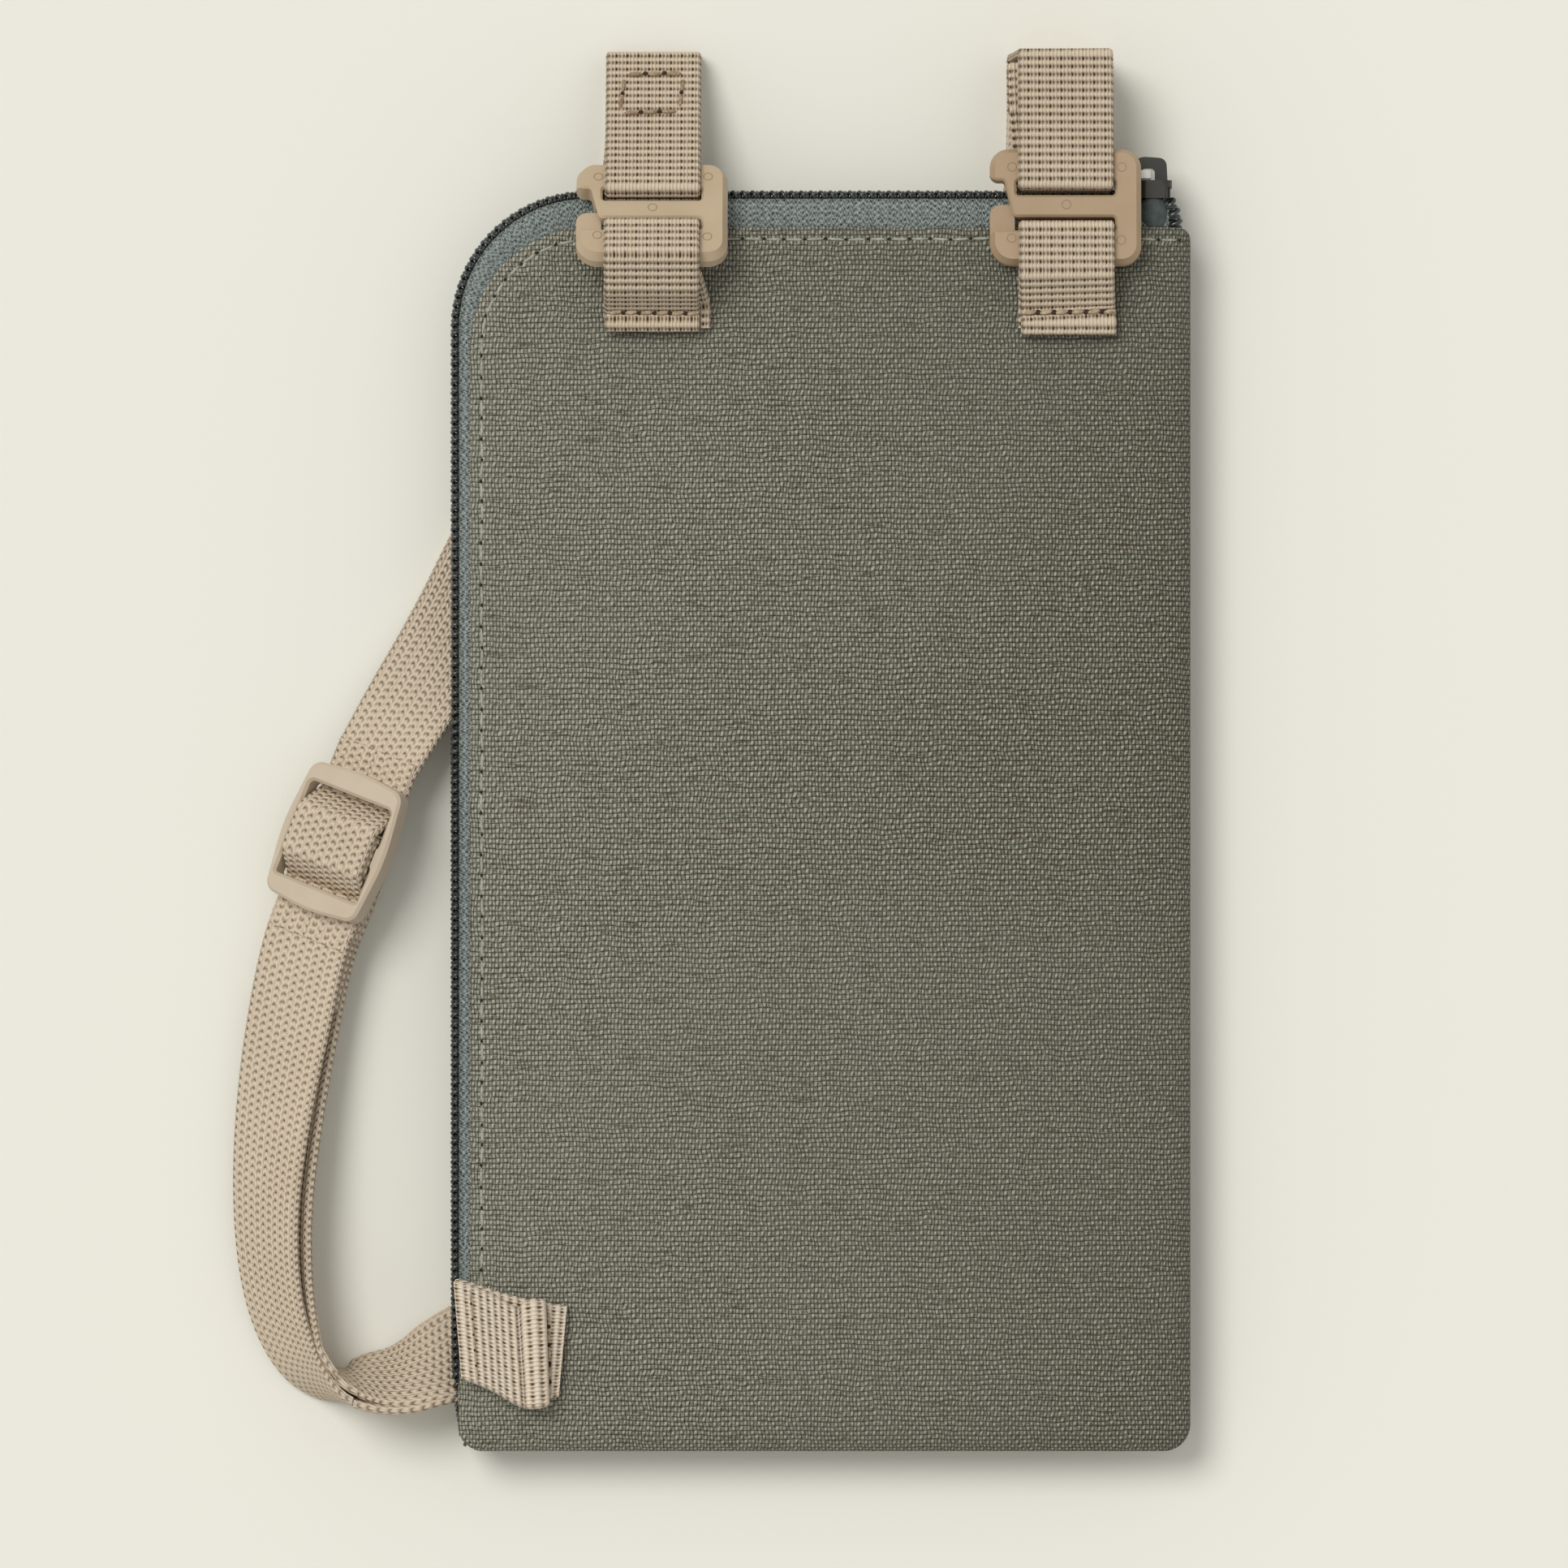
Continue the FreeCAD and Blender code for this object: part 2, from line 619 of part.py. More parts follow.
# ---------------------------------------------------------------------------------------------
# Strap ends at the hooks
# ---------------------------------------------------------------------------------------------
FLOOR_PLY = PLY / 2
SECOND_PLY = FLOOR_PLY + PLY + size("stack_gap")
LEFT_FOLD_Y = 122.1
LEFT_START_Y = 116.5
RIGHT_START_Y = 113.0
LEFT_STRAP_X = LEFT_HOOK.x + 0.1
RIGHT_STRAP_X = RIGHT_HOOK.x

front_of_bar = hook_point(LEFT_HOOK, LEFT_TILT, HOOK_Y + 0.5, ROUND)
fold_high = 4.4
slope = V(front_of_bar[0] - LEFT_FOLD_Y, front_of_bar[1] - fold_high, 0).normalize()
behind = V(-slope.y, slope.x, 0) * (PLY + size("ply_gap"))
join = V(front_of_bar[0], front_of_bar[1], 0) - slope * 7 + behind
inner_end = V(LEFT_FOLD_Y, fold_high, 0) + slope * 2.6 + behind
webbing_side(
    "strap_left_end",
    [
        (LEFT_START_Y, FLOOR_PLY),
        (LEFT_FOLD_Y, FLOOR_PLY),
        (LEFT_FOLD_Y, fold_high),
        front_of_bar,
        hook_point(LEFT_HOOK, LEFT_TILT, UPPER_BAR - EDGE, ROUND),
        hook_point(LEFT_HOOK, LEFT_TILT, UPPER_BAR - EDGE, -ROUND),
        hook_point(LEFT_HOOK, LEFT_TILT, HOOK_Y + 0.5, -ROUND),
        (join.x, join.y),
        (inner_end.x, inner_end.y),
    ],
    [1.7, 0.9, 2.0, 1.2, 1.2, 2.0, 2.0],
    LEFT_STRAP_X,
)

TURN_Y = 121.85
TURN_HIGH = FACE_Z + 1.6
inner_y = TURN_Y - PLY - size("stack_gap")
inner_high = TURN_HIGH - PLY - size("stack_gap")
webbing_side(
    "strap_right_end",
    [
        (RIGHT_START_Y, FLOOR_PLY),
        (TURN_Y, FLOOR_PLY),
        (TURN_Y, TURN_HIGH),
        hook_point(RIGHT_HOOK, RIGHT_TILT, HOOK_Y + 0.5, ROUND),
        hook_point(RIGHT_HOOK, RIGHT_TILT, UPPER_BAR - EDGE, ROUND),
        hook_point(RIGHT_HOOK, RIGHT_TILT, UPPER_BAR - EDGE, -ROUND),
        hook_point(RIGHT_HOOK, RIGHT_TILT, HOOK_Y + 0.5, -ROUND),
        (113.4, inner_high + 1.1),
        (inner_y, inner_high),
        (inner_y, SECOND_PLY),
        (RIGHT_START_Y, SECOND_PLY),
    ],
    [6.5, 5.0, 2.0, 1.2, 1.2, 2.0, 4.0, 3.4, 4.4],
    RIGHT_STRAP_X,
)

# ---------------------------------------------------------------------------------------------
# Strap adjuster, drawn with local y back up the strap and local z out of its face
# ---------------------------------------------------------------------------------------------
BANK = math.radians(size("slider_bank"))
SLIDER_MIDDLE = V(-77.0, -3.5, 0)
STRAP_DOWN = V(-0.364, -0.932, 0).normalize()
OUTWARD = V(STRAP_DOWN.y, -STRAP_DOWN.x, 0)
face_normal = OUTWARD * math.sin(BANK) + V(0, 0, math.cos(BANK))
across = (STRAP_DOWN * -1).cross(face_normal)
LAYER = PLY + 0.15
RUN_DEPTH = -size("slider_thick") / 2 - 0.15 - PLY / 2
lowest = WEB / 2 * math.sin(BANK) + (LAYER * 2 + PLY / 2 - RUN_DEPTH) * math.cos(BANK)
slider_place = FreeCAD.Placement(
    FreeCAD.Matrix(
        across.x, -STRAP_DOWN.x, face_normal.x, SLIDER_MIDDLE.x,
        across.y, -STRAP_DOWN.y, face_normal.y, SLIDER_MIDDLE.y,
        across.z, -STRAP_DOWN.z, face_normal.z, lowest,
        0, 0, 0, 1,
    )
)
half_long = size("slider_length") / 2
half_mid = size("slider_middle") / 2
half_end = size("slider_end") / 2
WINDOW_X = WEB / 2 + 0.35
WINDOW_Y = 7.9
BAR_Y = 1.6
strap_slider = new_body("strap_slider")
frame_edges = closed_outline(
    [
        (half_end, half_long - 0.5, 2.2),
        (0, half_long + 0.5, 30),
        (-half_end, half_long - 0.5, 2.2),
        (-half_mid - 0.3, 0, 30),
        (-half_end, -half_long + 0.5, 2.2),
        (0, -half_long - 0.5, 30),
        (half_end, -half_long + 0.5, 2.2),
        (half_mid + 0.3, 0, 30),
    ]
)
for low, high in ((BAR_Y, WINDOW_Y), (-WINDOW_Y, -BAR_Y)):
    frame_edges += closed_outline(
        [(-WINDOW_X, low, 0.4), (WINDOW_X, low, 0.4), (WINDOW_X, high, 0.9), (-WINDOW_X, high, 0.9)]
    )
pad(strap_slider, "frame", frame_edges, "dimensions.slider_thick", midplane=True)
bevel_face(strap_slider, size("slider_thick") / 2, "0.45", "0.45")
BAR_HIGH = 0.6
bar_cut = closed_outline(
    [(-WINDOW_X, -BAR_Y - 0.8, 0), (WINDOW_X, -BAR_Y - 0.8, 0), (WINDOW_X, BAR_Y + 0.8, 0), (-WINDOW_X, BAR_Y + 0.8, 0)]
)
pocket(strap_slider, "bar", bar_cut, "dimensions.slider_thick / 2 - 0.6", height=size("slider_thick") / 2)
strap_slider.Placement = slider_place

# Webbing in the adjuster, seen from its side: the strap runs over the bar, its sewn end round it.
OVER_TAIL = BAR_HIGH + 0.15 + PLY / 2
OVER_BAR = OVER_TAIL + LAYER
STRAP_ENTRY = 14.0
ACROSS_VIEW = FreeCAD.Placement(V(0, 0, 0), SIDE_VIEW)
strap_pass = new_body("strap_slider_pass")
pass_route = [
    V(STRAP_ENTRY, RUN_DEPTH, 0),
    V(7.2, RUN_DEPTH, 0),
    V(3.5, OVER_BAR, 0),
    V(-3.5, OVER_BAR, 0),
    V(-7.2, RUN_DEPTH, 0),
    V(-STRAP_ENTRY, RUN_DEPTH, 0),
]
pad(strap_pass, "ply", band(pass_route, [1.5, 2.8, 2.8, 1.5], PLY), "dimensions.webbing", True)
strap_pass.Placement = slider_place.multiply(ACROSS_VIEW)

strap_tail = new_body("strap_tail")
under_bar = -size("slider_thick") / 2 - 0.15 - PLY / 2
tail_route = [
    V(-STRAP_ENTRY, RUN_DEPTH - 2 * LAYER, 0),
    V(-5.9, RUN_DEPTH - 2 * LAYER, 0),
    V(-1.8, under_bar, 0),
    V(BAR_Y + EDGE, under_bar, 0),
    V(BAR_Y + EDGE, OVER_TAIL, 0),
    V(-2.7, OVER_TAIL, 0),
    V(-6.4, RUN_DEPTH - LAYER, 0),
    V(-STRAP_ENTRY, RUN_DEPTH - LAYER, 0),
]
pad(strap_tail, "ply", band(tail_route, [2.6, 1.6, 0.8, 0.8, 1.3, 2.9], PLY), "dimensions.webbing", True)
strap_tail.Placement = slider_place.multiply(ACROSS_VIEW)

# ---------------------------------------------------------------------------------------------
# Free runs of the strap: flat webbing that leans, twists and bends along a route
# ---------------------------------------------------------------------------------------------
# Each stop of a route is (x, y, bank, depth). The bank leans the webbing about its own length: 0 lies
# flat with its outer face up, 90 stands on its edge and 180 lies flat with its outer face down. The
# depth is how far the strap's second layer lies behind the first there.
ARC_STEPS = 3


def stops_along(stops):
    """Finely spaced places along a route: the ends of each straight run and steps round each arc."""
    route = [V(x, y, 0) for x, y, _, _ in stops]
    radii = easy_radii(route)
    fine = []
    for i, piece in enumerate(route_pieces(route, radii)):
        if len(piece) == 2:
            fine += [(end, unit(*piece), i // 2) for end in piece]
            continue
        arc = Part.Arc(*piece[:3])
        for step in range(1, ARC_STEPS):
            at = arc.FirstParameter + (arc.LastParameter - arc.FirstParameter) * step / ARC_STEPS
            heading = arc.tangent(at)[0]
            if heading.dot(piece[2] - piece[0]) < 0:
                heading = heading * -1
            fine.append((arc.value(at), heading, i // 2))
    return route, radii, fine


def blend_at(route, values, point, run):
    """A value given at each corner of a route, found at a point beside one of its two runs."""
    best = None
    for k in (run, min(run + 1, len(route) - 2)):
        along = unit(route[k], route[k + 1])
        length = route[k].distanceToPoint(route[k + 1])
        share = (point - route[k]).dot(along) / length
        share = max(0.0, min(1.0, share))
        miss = point.distanceToPoint(route[k] + along * (share * length))
        if best is None or miss < best[0]:
            best = (miss, values[k] + (values[k + 1] - values[k]) * share)
    return best[1]


def webbing_section(point, heading, bank, lift, behind):
    """Corners of the webbing's cross-section at a point of its route."""
    lean = math.radians(bank)
    outward = V(heading.y, -heading.x, 0)
    normal = outward * math.sin(lean) + V(0, 0, math.cos(lean))
    spread = outward * -math.cos(lean) + V(0, 0, math.sin(lean))
    high = WEB / 2 * math.sin(lean) + PLY / 2 * abs(math.cos(lean)) + lift
    middle = point + V(0, 0, high) - normal * behind
    corners = []
    for side, face in ((-1, -1), (1, -1), (1, 1), (-1, 1)):
        corners.append(middle + spread * (side * WEB / 2) + normal * (face * PLY / 2))
    return corners


def flat_face(*corners):
    return Part.Face(Part.makePolygon([*corners, corners[0]]))


def leaning_run(leaning, layer):
    """Webbing with flat faces along a leaning route: layer 0 is the outer layer and 1 the second one."""
    route, radii, fine = stops_along(leaning)
    banks = [bank for _, _, bank, _ in leaning]
    depths = [depth for _, _, _, depth in leaning]
    sections = []
    for point, heading, run in fine:
        bank = blend_at(route, banks, point, run)
        depth = blend_at(route, depths, point, run)
        lift = max(0.0, depth * math.cos(math.radians(bank)))
        sections.append(webbing_section(point, heading, bank, lift, depth * layer))
    faces = [flat_face(*sections[0]), flat_face(*sections[-1])]
    for near, far in zip(sections, sections[1:]):
        for k in range(4):
            after = (k + 1) % 4
            faces.append(flat_face(near[k], near[after], far[after]))
            faces.append(flat_face(near[k], far[after], far[k]))
    run = Part.Solid(Part.Shell(faces))
    if run.Volume < 0:
        run.reverse()
    return run, route_length(route, radii)


def strap_run(label, leaning, flat, rest_z, layer=0):
    """One layer of the strap: a leaning stretch and a flat one on the table."""
    twisted, long = leaning_run(leaning, layer)
    flat_route = [V(x, y, 0) for x, y in flat]
    flat_radii = easy_radii(flat_route)
    lying = solid_of(band(flat_route, flat_radii, WEB), PLY)
    lying.translate(V(0, 0, rest_z - PLY / 2))
    long += route_length(flat_route, flat_radii)
    whole = twisted.fuse(lying).removeSplitter()
    print(f"{label}: {long:.1f} mm long, volume {whole.Volume / (long * WEB * PLY):.3f} of section x length")
    bends = easy_radii([V(x, y, 0) for x, y, _, _ in leaning]) + flat_radii
    print("  radii:", [round(r, 1) for r in bends])
    return soft_part(label, whole)


exit_point = slider_place.multVec(V(0, -STRAP_ENTRY, RUN_DEPTH))
entry_point = slider_place.multVec(V(0, STRAP_ENTRY, RUN_DEPTH))
leaving = exit_point + STRAP_DOWN * 3.5
arriving = entry_point - STRAP_DOWN * 5.0
bank_there = size("slider_bank")
own_height = WEB / 2 * math.sin(BANK) + PLY / 2 * math.cos(BANK)
two_layers = (exit_point.z - own_height) / math.cos(BANK)
STACK = PLY + size("stack_gap")

double_lean = [
    (exit_point.x, exit_point.y, bank_there, two_layers),
    (leaving.x, leaving.y, bank_there, two_layers),
    (-84.6, -31.0, 26, two_layers),
    (-87.2, -45.9, 36, 3.1),
    (-88.6, -61.7, 46, 3.0),
    (-87.2, -76.5, 53, 2.7),
    (-82.9, -87.0, 64, 2.3),
    (-75.7, -91.6, 92, 2.2),
    (-69.4, -90.4, 130, 2.1),
    (-65.8, -89.0, 152, STACK),
    (-62.4, -87.5, 171, STACK),
    (-59.0, -85.9, 174.5, STACK),
    (-55.0, -83.8, 178, STACK),
    (-49.0, -80.6, 180, STACK),
    (-43.0, -77.2, 180, STACK),
    (-36.0, -70.25, 180, STACK),
]
double_flat = [
    (-36.0, -70.25),
    (-29.0, -63.0),
    (-17.0, -42.0),
    (4.0, 0.5),
    (20.0, 38.0),
    (33.0, 74.0),
    (RIGHT_STRAP_X, 99.0),
    (RIGHT_STRAP_X, RIGHT_START_Y),
]
strap_run("strap_outer_run", double_lean, double_flat, FLOOR_PLY)
strap_run("strap_return_run", double_lean, double_flat, SECOND_PLY, layer=1)

# The strap's own end, sewn back between the two layers.
SEWN_TIP = (-84.39, -29.0)
sewn_lean = double_lean[:2] + [(*SEWN_TIP, bank_there, two_layers)]
sewn_end, sewn_long = leaning_run(sewn_lean, 0.5)
print(f"strap_sewn_end: {sewn_long:.1f} mm long")
soft_part("strap_sewn_end", sewn_end)

single_flat = [
    (LEFT_STRAP_X, LEFT_START_Y),
    (LEFT_STRAP_X, 108.0),
    (-28.4, 96.0),
    (-34.0, 77.0),
    (-45.0, 55.0),
    (-50.6, 44.8),
]
single_lean = [
    (-50.6, 44.8, 0, 0),
    (-59.4, 29.1, 3, 0.6),
    (arriving.x, arriving.y, bank_there, 2.6),
    (entry_point.x, entry_point.y, bank_there, two_layers),
]
strap_run("strap_single_run", single_lean, single_flat, FLOOR_PLY)

# ---------------------------------------------------------------------------------------------
# Tab at the foot of the zip: webbing folded over the zip and sewn down, its upper end rolled under
# ---------------------------------------------------------------------------------------------
# The tab is drawn from its foot: local x runs along the webbing and local z is height over the table.
TAB_FOOT = V(-53.2, -89.85, 0)
TAB_ALONG = V(math.cos(math.radians(-17.0)), math.sin(math.radians(-17.0)), 0)
TAB_ACROSS = V(-2.5, 16.3, 0)
TAB_LOW = FACE_Z + 0.4 + PLY / 2
TAB_HIGH = TAB_LOW + PLY + 0.25
tab_route = [
    V(14.3, TAB_LOW, 0),
    V(4.0, TAB_LOW, 0),
    V(-1.0, TAB_LOW - 0.95, 0),
    V(-1.2, TAB_HIGH - 0.95, 0),
    V(4.0, TAB_HIGH, 0),
    V(8.0, TAB_HIGH + 0.8, 0),
    V(11.3, TAB_HIGH + 1.1, 0),
    V(11.6, TAB_HIGH, 0),
]
tab_edges = band(tab_route, [12.0, 0.75, 0.75, 8.0, 12.0, 1.0], PLY)
tab_wire = Part.Wire(Part.__sortEdges__([e.toShape() for e in tab_edges]))
tab_face = Part.Face(tab_wire)
tab_face.Placement = FreeCAD.Placement(TAB_FOOT, FreeCAD.Rotation(TAB_ALONG, V(0, 0, 1), V(0, -1, 0), "XZY"))
soft_part("zip_end_tab", tab_face.extrude(TAB_ACROSS))

# ---------------------------------------------------------------------------------------------
# Check everything, then write one file for each piece
# ---------------------------------------------------------------------------------------------
doc.recompute()
failed = [o.Label for o in doc.Objects if "Invalid" in o.State or "Error" in o.State]
if failed:
    raise RuntimeError(f"features failed: {failed}")
for part in parts:
    if part.Shape.isNull() or not part.Shape.isValid() or len(part.Shape.Solids) != 1:
        raise RuntimeError(f"{part.Label} is not one sound solid")

os.makedirs("parts", exist_ok=True)
for part in parts:
    part.Shape.exportStep(f"parts/{part.Label}.step")
    box = part.Shape.BoundBox
    spans = (box.XMin, box.XMax, box.YMin, box.YMax, box.ZMin, box.ZMax)
    print(part.Label, round(part.Shape.Volume, 1), [round(v, 1) for v in spans])
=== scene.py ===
# %% [markdown]
# # Neck pouch wallet
# A flat canvas pouch lies on its back on a pale table. A zip runs up its left side and along its top,
# two plastic hooks hold a long webbing strap to its front, and the strap passes under the pouch, through
# an adjuster and back again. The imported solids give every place. These cells dress them: woven cloth,
# ribbed webbing, moulded plastic, a wound zip coil and the threads that hold it all together.

# %% The frame
import math
import random
from functools import partialmethod

import bmesh
import bpy
from mathutils import Matrix, Vector, noise


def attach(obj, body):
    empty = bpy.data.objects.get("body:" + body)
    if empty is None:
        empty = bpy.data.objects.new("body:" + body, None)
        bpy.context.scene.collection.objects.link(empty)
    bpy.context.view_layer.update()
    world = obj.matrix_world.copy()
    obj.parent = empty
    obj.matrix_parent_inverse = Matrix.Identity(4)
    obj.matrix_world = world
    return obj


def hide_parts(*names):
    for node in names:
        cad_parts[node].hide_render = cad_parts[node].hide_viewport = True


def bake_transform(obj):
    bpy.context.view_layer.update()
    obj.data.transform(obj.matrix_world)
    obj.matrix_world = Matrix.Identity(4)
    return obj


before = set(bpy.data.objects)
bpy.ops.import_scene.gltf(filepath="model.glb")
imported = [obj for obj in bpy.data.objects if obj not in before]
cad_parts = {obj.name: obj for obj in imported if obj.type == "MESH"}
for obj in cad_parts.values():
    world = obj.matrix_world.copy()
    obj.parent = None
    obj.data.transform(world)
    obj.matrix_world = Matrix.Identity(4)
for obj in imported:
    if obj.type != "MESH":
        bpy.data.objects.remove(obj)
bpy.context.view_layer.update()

# %% [markdown]
# ## Units and main sizes
# The scene is in metres here, and a pouch is easier to think of in millimetres. So places are written
# in millimetres, and `at` turns them into a point of the frame. X runs across the pouch, Y up it and Z
# out of its face. The seam plane is where the two halves of the pouch meet. One unit of a woven piece's
# UV coordinates is 100 mm of cloth.

# %% Units and main sizes
MM = 0.001
UV_PER_MM = 0.01
HALF_W = 59.0
HALF_H = 100.5
SEAM_Z = 9.0
HALF_DEPTH = 5.5
WEB = 15.0
PLY = 1.3
CORNER_BIG = 22.0
CORNER_TOP = 6.0
CORNER_FOOT = 4.3


def at(x, y, z=0.0):
    return Vector((x, y, z)) * MM


def rgb(red, green, blue):
    """A colour as a painter names it, 0 to 255, turned into the linear light of a material."""
    steps = [c / 255 for c in (red, green, blue)]
    return tuple(c / 12.92 if c <= 0.04045 else ((c + 0.055) / 1.055) ** 2.4 for c in steps) + (1.0,)


def add(name, data):
    """A new object with this data, standing at the origin of the scene."""
    made = bpy.data.objects.new(name, data)
    bpy.context.scene.collection.objects.link(made)
    return made


def register(piece, body=None, node=None):
    """Attaches a piece to the body it rides on and hides the node it stands for."""
    if body:
        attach(piece, body)
    if node:
        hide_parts(node)


# %% [markdown]
# ## Camera
# The pouch is seen from straight above through a long lens, so its sides hardly show. The distance
# follows from the lens and from how wide a field it has to see at the height of the pouch.

# %% Camera
FIELD = 249.9
LENS = 250.0
SENSOR = 36.0
SIGHT = 10.0
VIEW_MIDDLE = (-5.76, 5.82)
distance = FIELD * LENS / SENSOR

camera_data = bpy.data.cameras.new("camera")
camera_data.lens = LENS
camera_data.sensor_width = SENSOR
camera_data.clip_end = SIGHT
camera = add("camera", camera_data)
camera.location = at(*VIEW_MIDDLE, SEAM_Z + distance)
bpy.context.scene.camera = camera
print(f"camera {distance:.0f} mm above the seam plane")

# %% [markdown]
# ## Lines and ribbons
# The strap is one long flat cord. Its middle line is a NURBS spline through a few places on the table,
# and a curve object works out the points of that spline. A second spline carries how far the webbing
# leans at each place, so that it twists as smoothly as it bends.

# %% Lines
def nurbs_mesh(name, controls, order, steps, wire=0.0):
    """A mesh along the NURBS spline of these control points, round where the wire has a radius."""
    curve = bpy.data.curves.new(name, "CURVE")
    curve.dimensions = "3D"
    curve.bevel_depth = wire
    curve.bevel_resolution = 1
    curve.use_fill_caps = True
    spline = curve.splines.new("NURBS")
    spline.points.add(len(controls) - 1)
    for point, place in zip(spline.points, controls):
        point.co = (*place, 1.0)
    spline.order_u = order
    spline.use_endpoint_u = True
    spline.resolution_u = steps
    holder = bpy.data.objects.new(name, curve)
    mesh = bpy.data.meshes.new_from_object(holder)
    bpy.data.objects.remove(holder)
    bpy.data.curves.remove(curve)
    mesh.name = name
    return mesh


def spline_points(controls, steps=16):
    """The points of a smooth line that these control points draw."""
    mesh = nurbs_mesh("line", controls, 3, steps)
    points = [vertex.co.copy() for vertex in mesh.vertices]
    bpy.data.meshes.remove(mesh)
    return points


def headings(points):
    """The direction of a line at each of its points."""
    last = len(points) - 1
    return [(points[min(i + 1, last)] - points[max(i - 1, 0)]).normalized() for i in range(last + 1)]


def line_length(points):
    return sum((b - a).length for a, b in zip(points, points[1:]))


def evenly(points, step, *others):
    """The same line with evenly spaced points. Other lists of values are spread in the same way."""
    count = max(2, round(line_length(points) / step) + 1)
    spacing = line_length(points) / (count - 1)
    lines = (points,) + others
    spread = [[line[0]] for line in lines]
    walked = 0.0
    for i, (start, end) in enumerate(zip(points, points[1:])):
        run = (end - start).length
        while len(spread[0]) < count - 1 and walked + run >= spacing * len(spread[0]):
            share = (spacing * len(spread[0]) - walked) / run
            for line, kept in zip(lines, spread):
                kept.append(line[i] + (line[i + 1] - line[i]) * share)
        walked += run
    for line, kept in zip(lines, spread):
        kept.append(line[-1])
    return spread if others else spread[0]


# %% [markdown]
# A ribbon of webbing is woven in ribs across its width. Real ribs show on its edges and in its
# highlights, so the mesh itself carries them. The section is a flat oval of points, and each point
# rises and falls along the webbing. Ends are closed with a cap.

# %% Webbing ribbons
ROW = 1.29
STEPS_TO_ROW = 4
THREADS = 24
RIB_RISE = 0.09
RUN_RISE = 0.02
EDGE_RISE = 0.13
# The rounded edges: their width, the band that rises as an edge, and where their shoulders lie.
EDGE = 0.35
EDGE_BAND = 0.3
SHOULDER_IN = 0.1
SHOULDER_OUT = 0.42
# Lengths round the section: from point to point of an edge, to the left edge, and all the way.
AROUND_STEP = 0.4
AROUND_LEFT = 32.0
AROUND_ALL = 33.2
WELD = 1e-7


def webbing_section():
    """Points round the webbing: across, out, and how far round, all in millimetres."""
    half = WEB / 2
    side = half - EDGE
    shoulder = half - SHOULDER_IN
    across = [-side + 2 * side * k / THREADS for k in range(THREADS + 1)]
    top = [(x, PLY / 2, x + half) for x in across]
    right = [(shoulder, SHOULDER_OUT, WEB), (half, 0.0, WEB + AROUND_STEP),
             (shoulder, -SHOULDER_OUT, WEB + 2 * AROUND_STEP)]
    under = [(x, -PLY / 2, WEB + 3 * AROUND_STEP + (half - x)) for x in reversed(across)]
    left = [(-shoulder, -SHOULDER_OUT, AROUND_LEFT), (-half, 0.0, AROUND_LEFT + AROUND_STEP),
            (-shoulder, SHOULDER_OUT, AROUND_LEFT + 2 * AROUND_STEP)]
    return top + right + under + left


SECTION = webbing_section()


def link(name, bm, smooth=True):
    """A new piece made from a bmesh, standing at the origin."""
    mesh = bpy.data.meshes.new(name)
    for face in bm.faces:
        face.smooth = smooth
    bm.to_mesh(mesh)
    bm.free()
    return add(name, mesh)


def skin(rows):
    """A sheet of faces from a bmesh grid, over rows of places and their ways across and along."""
    bm = bmesh.new()
    tall, wide = len(rows) - 1, len(rows[0]) - 1
    bmesh.ops.create_grid(bm, x_segments=wide, y_segments=tall, size=0.5)
    layer = bm.loops.layers.uv.verify()
    ways = {}
    for vertex in bm.verts:
        i, j = round((vertex.co.y + 0.5) * tall), round((vertex.co.x + 0.5) * wide)
        vertex.co, ways[vertex] = rows[i][j]
    for face in bm.faces:
        for loop in face.loops:
            across, along = ways[loop.vert]
            loop[layer].uv = (across * UV_PER_MM, along * UV_PER_MM)
    return bm


def ribbon(name, line, spreads, rise=RIB_RISE, slim=0.0, skewed=False):
    """Webbing that follows a line in metres; the spreads point along its width.

    Slim draws its edges in and sets its faces out by as much, and skewed keeps spreads that aren't
    square to the line. Every rise points outward, because copysign takes only its size.
    """
    line, spreads = evenly(line, ROW / STEPS_TO_ROW * MM, spreads)
    rows = []
    travelled = 0.0
    for i, (point, spread, heading) in enumerate(zip(line, spreads, headings(line))):
        if i:
            travelled += (point - line[i - 1]).length / MM
        if not skewed:
            spread = (spread - heading * spread.dot(heading)).normalized()
        normal = (heading.cross(spread) * -1).normalized()
        wave = math.cos(math.tau * travelled / ROW)
        row = []
        for across, out, around in SECTION:
            wide = across - math.copysign(slim, across)
            if abs(across) > WEB / 2 - EDGE_BAND:
                wide += math.copysign(EDGE_RISE * wave, across)
                thick = out + math.copysign(slim, out)
            else:
                thick = out + math.copysign(rise * wave - slim, out)
            row.append((point + (spread * wide + normal * thick) * MM, (around, travelled)))
        rows.append(row + [(row[0][0], (AROUND_ALL, travelled))])
    bm = skin(rows)
    bmesh.ops.remove_doubles(bm, verts=bm.verts, dist=WELD)
    bmesh.ops.holes_fill(bm, edges=[e for e in bm.edges if e.is_boundary])
    bmesh.ops.recalc_face_normals(bm, faces=bm.faces)
    piece = link(name, bm)
    print(f"{name}: {travelled:.1f} mm, {len(piece.data.polygons)} faces")
    return piece


# %% [markdown]
# ## The strap's free runs
# Each stop gives a place on the table in millimetres, the lean of the webbing about its own length, how
# far the second layer lies behind the first, and how much further that layer leans. Lying flat is 0,
# standing on its edge is 90 and lying flat with its outer face down is 180. The height follows from the
# lean, because the webbing rests on the table with its lower edge. In the bend the two layers keep their
# upper edges together and part below.

